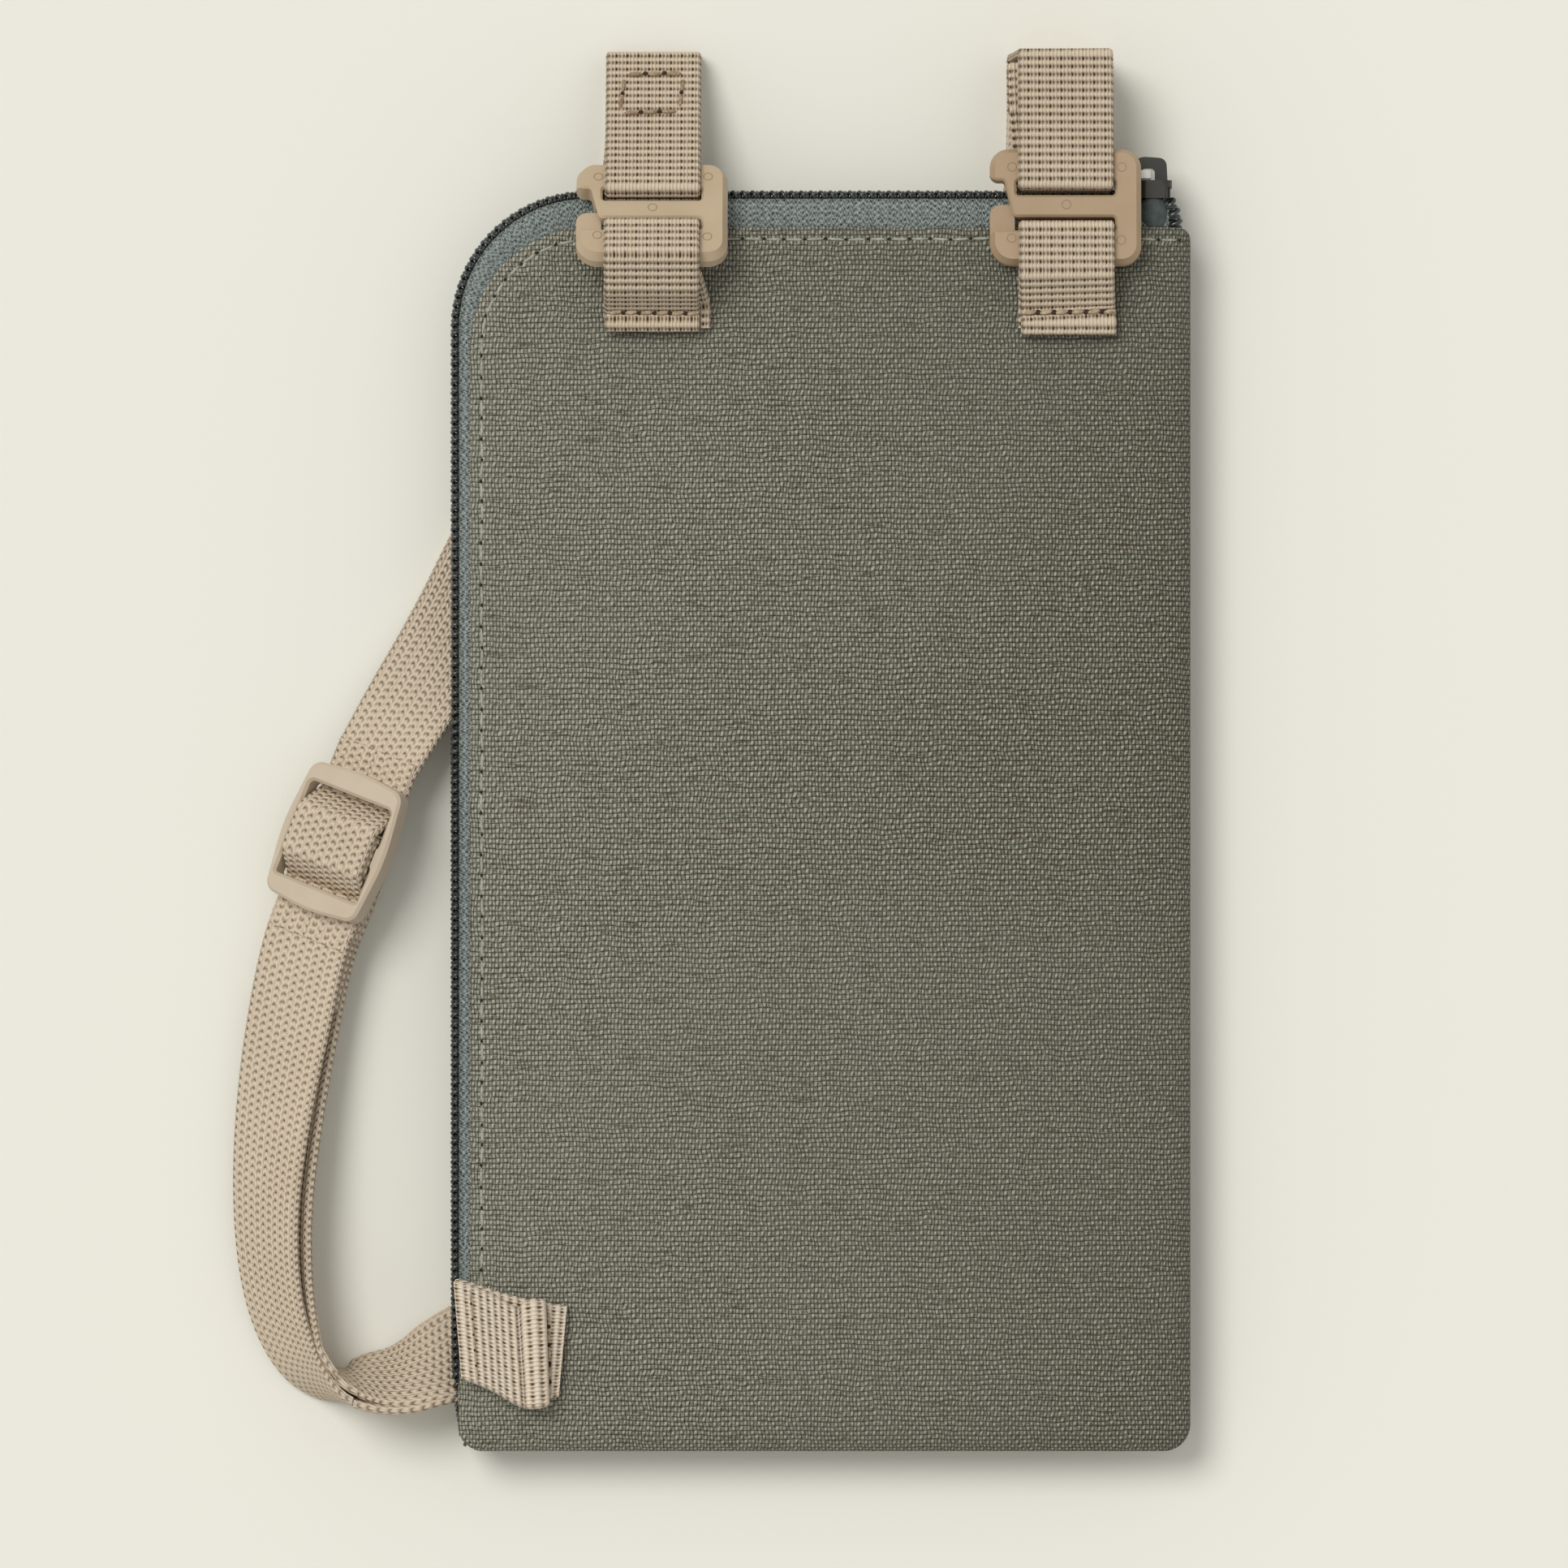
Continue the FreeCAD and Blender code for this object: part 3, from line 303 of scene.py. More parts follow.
# %% The strap's free runs
LAID_GAP = 2.05
UNDER_POUCH = [
    (-49.0, -80.6), (-43.0, -77.2), (-36.0, -70.25), (-29.0, -63.0), (-17.0, -42.0), (4.0, 0.5),
    (20.0, 38.0), (32.4, 74.0), (37.5, 99.0), (37.5, 113.0),
]
DOUBLE_STOPS = [
    (-81.11, -16.92, 26, 2.9, 0), (-82.39, -20.18, 26, 2.9, 0), (-84.6, -31.0, 26, 2.9, 0),
    (-87.2, -45.9, 36, 3.1, 0), (-88.6, -61.7, 46, 2.9, 0), (-87.6, -75.6, 52, 2.5, 0),
    (-84.2, -85.3, 59, 1.6, 6), (-79.6, -90.3, 72, 1.3, 13), (-75.6, -92.4, 87, 1.2, 17),
    (-71.2, -92.5, 99, 1.4, 18), (-66.8, -91.4, 115, 1.7, 11), (-62.9, -89.0, 131, 1.95, 3),
    (-59.6, -87.0, 152, LAID_GAP, 0), (-55.0, -84.2, 173, LAID_GAP, 0),
] + [(x, y, 180, LAID_GAP, 0) for x, y in UNDER_POUCH]
SINGLE_FLAT = [(-26.6, 116.5), (-26.6, 108.0), (-28.4, 96.0), (-34.0, 77.0), (-45.4, 55.0), (-51.3, 44.8)]
SINGLE_STOPS = [(x, y, 0, 0, 0) for x, y in SINGLE_FLAT] + [
    (-58.9, 29.1, 5, 0.9, 0), (-68.4, 13.95, 25, 2.6, 0), (-70.93, 9.16, 26, 2.9, 0),
]
SEWN_STOPS = DOUBLE_STOPS[:2] + [(-84.39, -29.0, 26, 2.9, 0)]


def strap_layer(stops, behind):
    """Middle line and width directions of one layer of the strap, 0 for the first and 1 for the second."""
    places = spline_points([at(x, y) for x, y, *_ in stops])
    leans = spline_points([Vector(lean) for _, _, *lean in stops])
    line, spreads = [], []
    for place, heading, (lean, gap, further) in zip(places, headings(places), leans):
        outward = Vector((heading.y, -heading.x, 0))
        first = math.radians(lean)
        angle = math.radians(lean + further * behind)
        out = WEB / 2 * (math.cos(angle) - math.cos(first)) - gap * behind * math.sin(first)
        over = gap * math.cos(first)
        lift = over * (1 - behind) if over > 0 else -over * behind
        high = WEB / 2 * math.sin(angle) + PLY / 2 * abs(math.cos(angle)) + lift
        line.append(place + (outward * out + Vector((0, 0, high))) * MM)
        spreads.append(outward * -math.cos(angle) + Vector((0, 0, math.sin(angle))))
    return line, spreads


def strap_run(name, stops, behind):
    line, spreads = strap_layer(stops, behind)
    return line, ribbon(name, line, spreads, rise=RUN_RISE)


outer_line, outer_run = strap_run("outer_run_webbing", DOUBLE_STOPS, 0)
return_line, return_run = strap_run("return_run_webbing", DOUBLE_STOPS, 1)
single_line, single_run = strap_run("single_run_webbing", SINGLE_STOPS, 0)
# The strap's own end, sewn back between its two layers just below the adjuster.
sewn_end = strap_run("sewn_end_webbing", SEWN_STOPS, 0.5)[1]

register(outer_run, node="strap_outer_run")
register(return_run, node="strap_return_run")
register(single_run, node="strap_single_run")
register(sewn_end, "pouch", "strap_sewn_end")
# The runs leave the table beyond the pouch's top edge, where the hooks lift them.
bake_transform(single_run)
for piece in (outer_run, return_run):
    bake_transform(piece)

# %% [markdown]
# ## Webbing that bends over bars
# The strap's ends and the two sewn loops bend round bars, and seen from the side each is a line with
# tight corners. Every corner gets three control points close together, so the NURBS spline turns there
# with a small radius and stays straight between.

# %% Corners of bent webbing
BEND_STEPS = 8
LONG_RUN = 1.5
NEAR_END = 0.12


def cornered(route, radii):
    """Control points of a line in millimetres that turns each corner within a given distance."""
    points = [Vector(route[0])]
    for before, corner, after, radius in zip(route, route[1:], route[2:], radii):
        corner = Vector(corner)
        back = (Vector(before) - corner).normalized()
        ahead = (Vector(after) - corner).normalized()
        turn = back.angle(ahead * -1)
        reach = radius * math.tan(turn / 2)
        points += [corner + back * reach, corner, corner + ahead * reach]
    points.append(Vector(route[-1]))
    return [p * MM for p in points]


def straight_filled(controls):
    """Adds a control point near each end of every long run, so the spline keeps to it."""
    filled = [controls[0]]
    for a, b in zip(controls, controls[1:]):
        if (b - a).length > LONG_RUN * MM:
            filled += [a.lerp(b, NEAR_END), a.lerp(b, 1 - NEAR_END)]
        filled.append(b)
    return filled


def bent_ribbon(name, route, radii, spread, slim=0.0):
    """Webbing that turns the corners of a route in millimetres and keeps one direction of its width."""
    line = spline_points(straight_filled(cornered(route, radii)), BEND_STEPS)
    return ribbon(name, line, [spread] * len(line), slim=slim)


def bent_webbing(name, side_route, radii, middle_x, sways=None):
    """Webbing whose route is given from the side; sways shift its places sideways from the middle."""
    sways = sways or [0.0] * len(side_route)
    route = [(middle_x + sway, y, z) for sway, (y, z) in zip(sways, side_route)]
    return bent_ribbon(name, route, radii, Vector((1, 0, 0)))


left_end = bent_webbing(
    "left_end_webbing",
    [(116.5, 0.65), (122.1, 0.65), (122.1, 4.4), (105.68, 14.76), (100.23, 18.3), (97.51, 14.11),
     (102.96, 10.57), (110.85, 9.84), (119.15, 4.6)],
    [1.7, 0.9, 2.0, 1.2, 1.2, 2.0, 2.0], -26.6)
right_end = bent_webbing(
    "right_end_webbing",
    [(113.0, 0.65), (121.85, 0.65), (121.85, 16.1), (107.31, 18.36), (100.84, 19.04), (100.32, 14.07),
     (106.78, 13.39), (113.4, 15.15), (119.8, 14.05), (119.8, 2.7), (113.0, 2.7)],
    [6.5, 5.0, 2.0, 1.2, 1.2, 2.0, 4.0, 3.4, 4.4], 38.9,
    sways=[-1.4, -1.4, 0.0, 0.0, 0.0, -0.1, -0.7, -1.3, -1.5, -1.5, -1.4])
left_loop = bent_webbing(
    "left_loop_webbing",
    [(78.2, 15.17), (81.8, 15.17), (86.44, 21.3), (92.14, 17.59), (94.86, 21.79), (89.6, 25.2),
     (84.0, 21.6), (81.3, 16.75), (80.4, 16.1), (79.3, 16.8), (77.9, 16.1)],
    [2.0, 2.0, 1.2, 1.2, 3.6, 4.0, 0.8, 0.6, 0.7], -26.7,
    sways=[1.7, 1.7, 0.3, 0.0, 0.0, 0.0, 0.0, 0.0, 0.0, 0.0, 0.0])
right_loop = bent_webbing(
    "right_loop_webbing",
    [(78.2, 15.17), (81.8, 15.17), (87.19, 15.45), (93.96, 14.74), (94.48, 19.71), (86.62, 20.54),
     (81.76, 16.75), (80.6, 16.1), (79.0, 16.8), (77.3, 16.1)],
    [2.0, 2.0, 1.2, 1.2, 3.0, 0.8, 0.6, 0.7], 39.0,
    sways=[0.0, 0.0, 0.0, 0.0, 0.0, 0.0, 0.2, 0.3, 0.4, 0.4])
register(left_end, "left_hook", "strap_left_end")
register(right_end, "right_hook", "strap_right_end")
for piece, body, node in (
    (left_loop, "left_hook", "left_hook_loop"), (right_loop, "right_hook", "right_hook_loop"),
):
    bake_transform(piece)
    register(piece, node=node)

# %% [markdown]
# ## Webbing in the adjuster
# The adjuster is banked with the strap, so its webbing is drawn in the adjuster's own plane and then
# carried over: along the strap, out of the adjuster's face and across it.

# %% Webbing in the adjuster
SLIDER_MIDDLE = at(-77.0, -3.5, 8.636)
SLIDER_ACROSS = Vector((0.8372, -0.3270, 0.4384))
SLIDER_ALONG = Vector((0.3638, 0.9315, 0.0))
SLIDER_OUT = Vector((-0.4083, 0.1595, 0.8988))
# How far out of the adjuster's middle the webbing lies: over the bar, and in its three layers.
OVER_BAR = 2.85
FIRST = -2.4
SEWN = -3.85
SECOND = -5.3
LEAD_SLIM = 0.16


def adjuster_webbing(name, route, radii, slim=0.0):
    places = [SLIDER_MIDDLE / MM + SLIDER_ALONG * along + SLIDER_OUT * out for along, out in route]
    return bent_ribbon(name, places, radii, SLIDER_ACROSS, slim)


pass_over = adjuster_webbing(
    "adjuster_webbing",
    [(14.0, FIRST), (7.2, FIRST), (3.5, OVER_BAR), (-3.5, OVER_BAR), (-7.2, FIRST), (-14.0, FIRST)],
    [1.5, 2.8, 2.8, 1.5])
tail_loop = adjuster_webbing(
    "tail_webbing",
    [(-14.0, SECOND), (-5.9, SECOND), (-1.8, FIRST), (2.4, FIRST), (2.4, 1.4), (-2.7, 1.4), (-6.4, SEWN),
     (-14.0, SEWN)],
    [2.6, 1.6, 0.8, 0.8, 1.3, 2.9])
register(pass_over, "strap_slider", "strap_slider_pass")
register(tail_loop, "strap_slider", "strap_tail")

# The adjuster slides along the strap. Inside the webbing that goes with it lies webbing that stays with
# the free runs, so that no gap opens behind it.
single_lead, outer_lead, return_lead, sewn_lead = leads = [
    adjuster_webbing(f"{label}_lead_webbing", [(far, out), (near, out)], [], LEAD_SLIM)
    for label, far, near, out in (
        ("single", 16.0, 3.4, FIRST), ("outer", -16.0, -3.4, FIRST), ("return", -16.0, -3.4, SECOND),
        ("sewn", -16.0, -6.0, SEWN))
]
for piece in leads:
    register(piece, "pouch")

# %% [markdown]
# ## What the strap is
# The strap is one length of flat webbing about a metre long. Three stretches of it are free, and the
# length of each is printed. The ends that go through hooks and adjuster go with them.

# %% The free cords
def declare_run(piece, line):
    length = line_length(line)
    print(f"{piece.name}: {length / MM:.0f} mm free")


declare_run(single_run, single_line)
declare_run(outer_run, outer_line)
declare_run(return_run, return_line)

# %% [markdown]
# ## The shape of the pouch
# The pouch is two dished halves. Seen in section, each half rises steeply from the edge and levels off
# within sixteen millimetres, which is the curve of a superellipse. `inside` measures how far a place lies
# from the pouch's rounded outline, and `dish` turns that into a height above the seam plane.

# %% Height of the cloth
EASE = 16.0
POWER = 2.6
CORNERS = {(-1, 1): CORNER_BIG, (1, 1): CORNER_TOP, (-1, -1): CORNER_FOOT, (1, -1): CORNER_FOOT}
# Cloth is taut near its edge and uneven farther in, and the back less so than the front.
TAUT = 2.0
TAUT_FADE = 14.0
SAG = 0.5
FOLD = 0.18
BACK_DRAPE = 0.4


def inside(x, y):
    radius = CORNERS[(-1 if x < 0 else 1, -1 if y < 0 else 1)]
    qx = abs(x) - HALF_W + radius
    qy = abs(y) - HALF_H + radius
    outside = math.hypot(max(qx, 0), max(qy, 0))
    return radius - outside - min(max(qx, qy), 0.0)


def dish(depth):
    share = 1 - min(max(depth, 0.0), EASE) / EASE
    return HALF_DEPTH * (1 - share**POWER) ** (1 / POWER)


def drape(x, y):
    """The soft unevenness of cloth that lies over a flat pouch, in millimetres."""
    calm = min(max((inside(x, y) - TAUT) / TAUT_FADE, 0.0), 1.0)
    broad = noise.noise(Vector((x * 0.02, y * 0.014, 3.0)))
    folds = noise.noise(Vector((x * 0.05 + 7, y * 0.02, 8.0)))
    return -abs(broad) * SAG * calm + folds * FOLD * calm


def cloth_height(x, y, side):
    """How far the canvas stands off the seam plane, 1 for the front and -1 for the back."""
    return dish(inside(x, y)) + drape(x, y) * (1 if side > 0 else BACK_DRAPE)


# How much longer the cloth is than its shadow, from a given depth to the flat middle.
STRETCH_STEPS = 160
STRETCH = [0.0]
for k in range(STRETCH_STEPS):
    low, high = EASE * k / STRETCH_STEPS, EASE * (k + 1) / STRETCH_STEPS
    STRETCH.append(STRETCH[-1] + math.hypot(high - low, dish(high) - dish(low)) - (high - low))


def spare(depth):
    k = min(max(depth, 0.0), EASE) / EASE * STRETCH_STEPS
    low = int(min(k, STRETCH_STEPS - 1))
    here = STRETCH[low] + (STRETCH[low + 1] - STRETCH[low]) * (k - low)
    return STRETCH[-1] - here


# %% [markdown]
# ## Canvas front and back
# Each canvas is a grid of faces whose rows run across the pouch. The rows start at the hem beside the
# zip and end at the seam on the right. Points lie closer together near the edges, where the cloth turns
# over. The hem is a double fold, so it stands a little proud, and the stitching pulls a groove into it.

# %% Canvas front and back
CANVAS = 0.6
COLUMNS = 110
ROWS = 170
CROWDING = 9
LEAST_HEIGHT = 0.03
HEM_SIDE = 3.3
HEM_TOP = 6.2
HEM_CORNER = 19.0
HEM_END = 2.0
# Towards the foot of the pouch the hem runs out to the edge.
FOOT_FROM = -74.0
FOOT_LENGTH = 18.0
FOOT_OUT = 1.9
# The hem's fold and its edge, and the groove that its stitches pull.
FOLD_WIDTH = 4.6
FOLD_RISE = 0.22
EDGE_FALL = 0.25
STITCH_IN = 1.9
HEM_STITCH = 3.3
GROOVE = 0.28
GROOVE_WIDTH = 0.35


def eased(count, dense_start, dense_end):
    """Shares from 0 to 1 that crowd together at the ends."""
    shares = [0.0]
    for k in range(count):
        t = (k + 0.5) / count
        crowd = dense_start * math.exp(-t * CROWDING) + dense_end * math.exp(-(1 - t) * CROWDING)
        shares.append(shares[-1] + 1 - crowd)
    return [share / shares[-1] for share in shares]


def drawn_in(radius, past):
    """How far a round corner has drawn in at a distance past its start."""
    return radius - math.sqrt(max(radius**2 - past**2, 0)) if past > 0 else 0.0


def canvas_left(y):
    """Where the hem runs at a height: straight up the side and round the big corner."""
    left = -HALF_W + HEM_SIDE + drawn_in(HEM_CORNER, y - (HALF_H - HEM_TOP - HEM_CORNER))
    low = min(max((FOOT_FROM - y) / FOOT_LENGTH, 0.0), 1.0)
    left -= FOOT_OUT * low * low * (3 - 2 * low)
    return left + drawn_in(CORNER_FOOT, CORNER_FOOT - HALF_H - y)


def canvas_right(y):
    """Where the cloth ends on the right at a height: along the fold, round at both ends."""
    top = HALF_H - HEM_TOP - HEM_END
    return HALF_W - drawn_in(HEM_END, y - top) - drawn_in(CORNER_FOOT, CORNER_FOOT - HALF_H - y)


def hem_distance(x, y):
    """How far a place lies from the hem beside the zip."""
    top = HALF_H - HEM_TOP
    left = -HALF_W + HEM_SIDE
    cx, cy = left + HEM_CORNER, top - HEM_CORNER
    if x < cx and y > cy:
        return HEM_CORNER - math.hypot(x - cx, y - cy)
    return min(x - left, top - y)


def thicken(piece, label, thickness):
    """Gives a sheet its thickness, inward from its outer face."""
    wall = piece.modifiers.new(label, "SOLIDIFY")
    wall.thickness = thickness * MM
    wall.offset = -1


def canvas(name, side):
    """One canvas half: side is 1 for the front and -1 for the back."""
    shares_x = eased(COLUMNS, 0.6, 0.96)
    rows = []
    for t in eased(ROWS, 0.96, 0.85):
        y = -HALF_H + (HALF_H * 2 - HEM_TOP) * t
        left, right = canvas_left(y), canvas_right(y)
        row = []
        for s in shares_x:
            x = left + (right - left) * s
            hem = hem_distance(x, y)
            height = cloth_height(x, y, side)
            height += FOLD_RISE / (1 + math.exp((hem - FOLD_WIDTH) * 3))
            height -= GROOVE * math.exp(-((hem - STITCH_IN) / GROOVE_WIDTH) ** 2)
            height -= EDGE_FALL * math.exp(-((hem / GROOVE_WIDTH) ** 2))
            place = at(x, y, SEAM_Z + side * max(height, LEAST_HEIGHT))
            row.append((place, (x + spare(HALF_W - x) - spare(HALF_W + x), y - spare(HALF_H + y))))
        rows.append(row)
    bm = skin(rows)
    if side < 0:
        bmesh.ops.reverse_faces(bm, faces=bm.faces)
    piece = link(name, bm)
    thicken(piece, "cloth", CANVAS)
    print(f"{name}: {len(piece.data.polygons)} faces")
    return piece


canvas_front = canvas("canvas_front", 1)
canvas_back = canvas("canvas_back", -1)
for piece, node, lining in (
    (canvas_front, "front_panel", "front_lining"), (canvas_back, "back_panel", "back_lining"),
):
    register(piece, "pouch", node)

# %% [markdown]
# ## Zip tapes
# Each half of the zip is sewn to a woven tape. Most of the tape is under the canvas, and a strip of it
# shows between the hem and the coil. It follows the same dish as the canvas, one cloth lower.

# %% Zip tapes
TAPE = 0.5
TAPE_FROM = 1.5
TAPE_TO = 11.5
TAPE_UNDER = 0.72
TAPE_STRIPS = 12
TAPE_STEP = 0.8
LEAST_TAPE = 0.3
# The tape dips towards the coil.
DIP = 0.5
DIP_WIDTH = 0.8
TURN_STEPS = 32


def corner_turn(left, high, radius):
    """Places round the pouch's big corner, from its side up to its top."""
    angles = [math.pi / 2 * k / TURN_STEPS for k in range(TURN_STEPS + 1)]
    return [at(left + radius - radius * math.cos(a), high - radius + radius * math.sin(a)) for a in angles]


def zip_line(inset, spacing, low=-98.0, far=55.5, foot=()):
    """Evenly spaced places that follow the zip at a distance inside the pouch's edge, from its foot."""
    left, high = -HALF_W + inset, HALF_H - inset
    turn = corner_turn(left, high, CORNER_BIG - inset)
    return evenly([*foot, at(left, low)] + turn + [at(far, high)], spacing * MM)


def outward_along(line):
    """Directions that point out of the pouch at each place of a line that follows the zip."""
    return [Vector((-heading.y, heading.x, 0)) for heading in headings(line)]


def tape(name, side):
    middle = zip_line(TAPE_FROM, TAPE_STEP)
    rows = []
    travelled = 0.0
    for i, (place, way) in enumerate(zip(middle, outward_along(middle))):
        if i:
            travelled += (place - middle[i - 1]).length / MM
        row = []
        for k in range(TAPE_STRIPS + 1):
            inset = (TAPE_TO - TAPE_FROM) * k / TAPE_STRIPS
            spot = place - way * inset * MM
            depth = inside(spot.x / MM, spot.y / MM)
            height = dish(depth) - TAPE_UNDER - DIP * math.exp(-(inset / DIP_WIDTH) ** 2)
            row.append((spot + at(0, 0, SEAM_Z + side * max(height, LEAST_TAPE)), (inset, travelled)))
        rows.append(row)
    bm = skin(rows)
    bmesh.ops.recalc_face_normals(bm, faces=bm.faces)
    if sum(face.normal.z for face in bm.faces) * side < 0:
        bmesh.ops.reverse_faces(bm, faces=bm.faces)
    piece = link(name, bm)
    thicken(piece, "tape", TAPE)
    return piece


tape_front = tape("tape_front", 1)
tape_back = tape("tape_back", -1)
register(tape_front, "pouch", "zip_tape_front")
register(tape_back, "pouch", "zip_tape_back")

# %% [markdown]
# ## Zip coils
# Each coil is one nylon thread wound along its tape. The two coils are half a turn apart, so their turns
# mesh at the seam plane. A NURBS curve with eight control points to a turn winds each of them.

# %% Zip coils
COIL_PITCH = 1.55
COIL_WIRE = 0.34
COIL_MIDDLE = 1.02
COIL_IN = 0.95
# Half a turn's height and width, and how these change where the coils part past the slider.
COIL_HIGH = 0.72
COIL_WIDE = 0.6
PARTED_LOWER = 0.1
PARTED_WIDER = 0.45
PARTED_RISE = 1.6
PARTING_POINTS = 20
TURN_POINTS = 8


def coil(name, side):
    foot = spline_points([
        at(-56.0, -99.2), at(-56.9, -97.0), at(-57.7, -91.0), at(-58.05, -86.0), at(-58.05, -80.0)])
    step = COIL_PITCH / TURN_POINTS
    middle = zip_line(COIL_IN, step, low=-79.9, far=52.0, foot=foot)
    bend = [at(53.4, HALF_H - COIL_IN), at(55.2, 99.0), at(56.0, 97.4), at(56.5, 95.6), at(56.6, 93.6)]
    places = middle + evenly(spline_points([middle[-1]] + bend), step * MM)[1:]
    controls = []
    for i, (place, way) in enumerate(zip(places, outward_along(places))):
        angle = math.tau * i / TURN_POINTS + (math.pi if side < 0 else 0)
        parting = min(max((i - len(middle)) / PARTING_POINTS, 0), 1)
        rise = (COIL_HIGH - PARTED_LOWER * parting) * math.sin(angle)
        high = side * (COIL_MIDDLE + PARTED_RISE * parting + rise)
        wide = (COIL_WIDE + PARTED_WIDER * parting) * MM * math.cos(angle)
        controls.append(place + way * wide + at(0, 0, SEAM_Z + high))
    mesh = nurbs_mesh(name, controls, 4, 2, COIL_WIRE * MM)
    for polygon in mesh.polygons:
        polygon.use_smooth = True
    print(f"{name}: {len(places) // TURN_POINTS} turns, {len(mesh.polygons)} faces")
    return add(name, mesh)


def balls(name, placed, around, rings):
    """One piece made of balls, each placed by a matrix and stretched to its half sizes in metres."""
    bm = bmesh.new()
    for place, half_sizes in placed:
        bmesh.ops.create_uvsphere(bm, u_segments=around, v_segments=rings, radius=1.0,
                                  matrix=place @ Matrix.Diagonal((*half_sizes, 1)))
    return link(name, bm)


# The two ends of the tape, each turned under beside the zip's open end.
ears = balls("tape_ears", [
    (Matrix.Translation(at(52.9, 96.2, SEAM_Z + side * 3.1)), at(2.3, 3.4, 1.3)) for side in (1, -1)], 24, 14)
coil_front = coil("coil_front", 1)
coil_back = coil("coil_back", -1)
register(ears, "pouch")
register(coil_front, "pouch", "zip_coil_front")
register(coil_back, "pouch", "zip_coil_back")

# %% [markdown]
# ## Threads
# A stitch is a short length of thread that dips into the cloth at both ends, so a stretched ball of a
# few dozen faces stands for it. Between stitches the needle leaves a small hole, and the shade in it
# is painted as a near-black ball.

# %% Threads
HEM_THREAD = 0.5
HEM_SHARE = 0.86
HEM_HOLE = 0.3
# Hem stitches stray a little from their line and stand proud of their groove.
STRAY = 0.12
PROUD = 0.06
# A hole's radius and how deep it is sunk, both to the thickness of its thread.
HOLE_SIZE = 0.62
HOLE_SUNK = 0.25


def stitch_row(name, places, thickness, share, aside=Vector()):
    """A stitch between each two places, shortened to a share of the way; aside makes it lean."""
    thick = thickness * MM / 2
    stitches = []
    for a, b in zip(places, places[1:]):
        run = (b - a) * share + aside * 2
        turn = run.to_track_quat("X", "Z").to_matrix().to_4x4()
        stitches.append((Matrix.Translation((a + b) / 2) @ turn, (run.length / 2, thick, thick)))
    return balls(name, stitches, 10, 6)


def needle_holes(name, places, radius):
    size = at(radius, radius, radius / 2)
    return balls(name, [(Matrix.Translation(place), size) for place in places], 8, 6)


def hem_stitch_places(side):
    """Places of the needle holes along the hem, on the canvas."""
    left = -HALF_W + HEM_SIDE + STITCH_IN
    high = HALF_H - HEM_TOP - STITCH_IN
    turn = corner_turn(left, high, HEM_CORNER - STITCH_IN)
    shaker = random.Random(4 if side > 0 else 5)
    settled = []
    for p in evenly([at(left, -78.0)] + turn + [at(57.0, high)], HEM_STITCH * MM):
        x = p.x / MM + shaker.uniform(-STRAY, STRAY)
        y = p.y / MM + shaker.uniform(-STRAY, STRAY)
        height = cloth_height(x, y, side) + FOLD_RISE - GROOVE + PROUD
        settled.append(at(x, y, SEAM_Z + side * height))
    return settled


def seam(name, body, start, end, count, thickness, slant=0.0, share=0.8):
    """A short straight seam: thick stitches that lean a little, and holes between them as balls of painted
    shade.
    """
    places = [start.lerp(end, k / count) for k in range(count + 1)]
    run = (end - start).normalized()
    aside = Vector((-run.y, run.x, 0)) * slant * MM
    sunk = at(0, 0, thickness * HOLE_SUNK)
    threads = stitch_row(f"{name}_thread", places, thickness, share, aside)
    holes = needle_holes(f"{name}_holes", [p - sunk for p in places[1:-1]], thickness * HOLE_SIZE)
    register(threads, body)
    register(holes, body)
    return threads, holes


# The strap's end above the left hook slopes down to its fold.
FOLD_Y = 121.8
FOLD_Z = 5.62
END_SLOPE = 0.631


def on_left_end(x, y):
    """A place on top of the strap's end above the left hook."""
    return at(x, y, FOLD_Z + (FOLD_Y - y) * END_SLOPE)


seams = [
    seam("left_loop_seam", "pouch", at(-33.7, 80.7, 17.3), at(-18.9, 80.5, 17.3), 6, 0.75, 0.16, 0.82),
    seam("right_loop_seam", "pouch", at(32.0, 80.6, 17.3), at(47.2, 80.8, 17.3), 6, 0.75, 0.16, 0.82),
    seam("box_top", "left_hook", on_left_end(-30.9, 119.0), on_left_end(-21.8, 119.2), 3, 0.8),
    seam("box_foot", "left_hook", on_left_end(-31.5, 112.6), on_left_end(-22.6, 112.9), 3, 0.76),
    seam("box_left", "left_hook", on_left_end(-31.2, 118.5), on_left_end(-31.8, 113.2), 2, 0.6),
    seam("box_right", "left_hook", on_left_end(-21.8, 118.5), on_left_end(-22.4, 113.5), 2, 0.6),
    seam("tab_seam", "zip_end_tab", at(-55.6, -74.2, 17.1), at(-54.4, -88.9, 17.1), 6, 0.34, 0.0, 0.9),
    # The roll seam's dark holes also paint shade in the gap beside the tab's rolled edge.
    seam("tab_roll_seam", "zip_end_tab", at(-43.2, -77.4, 16.35), at(-42.9, -92.0, 16.35), 5, 0.6, 0.0, 0.6),
]
hem_threads, hem_holes = [], []
for label, side in (("front", 1), ("back", -1)):
    places = hem_stitch_places(side)
    hem_threads.append(stitch_row(f"hem_thread_{label}", places, HEM_THREAD, HEM_SHARE))
    hem_holes.append(needle_holes(f"hem_holes_{label}", places, HEM_HOLE))
for piece in hem_threads + hem_holes:
    register(piece, "pouch")

# %% [markdown]
# ## Tab at the foot of the zip
# A short piece of webbing is folded double and sewn over the foot of the zip. Its free end rolls under,
# and the lower layer looks out beyond it. The layers don't lie square, so each stop gives both edges.

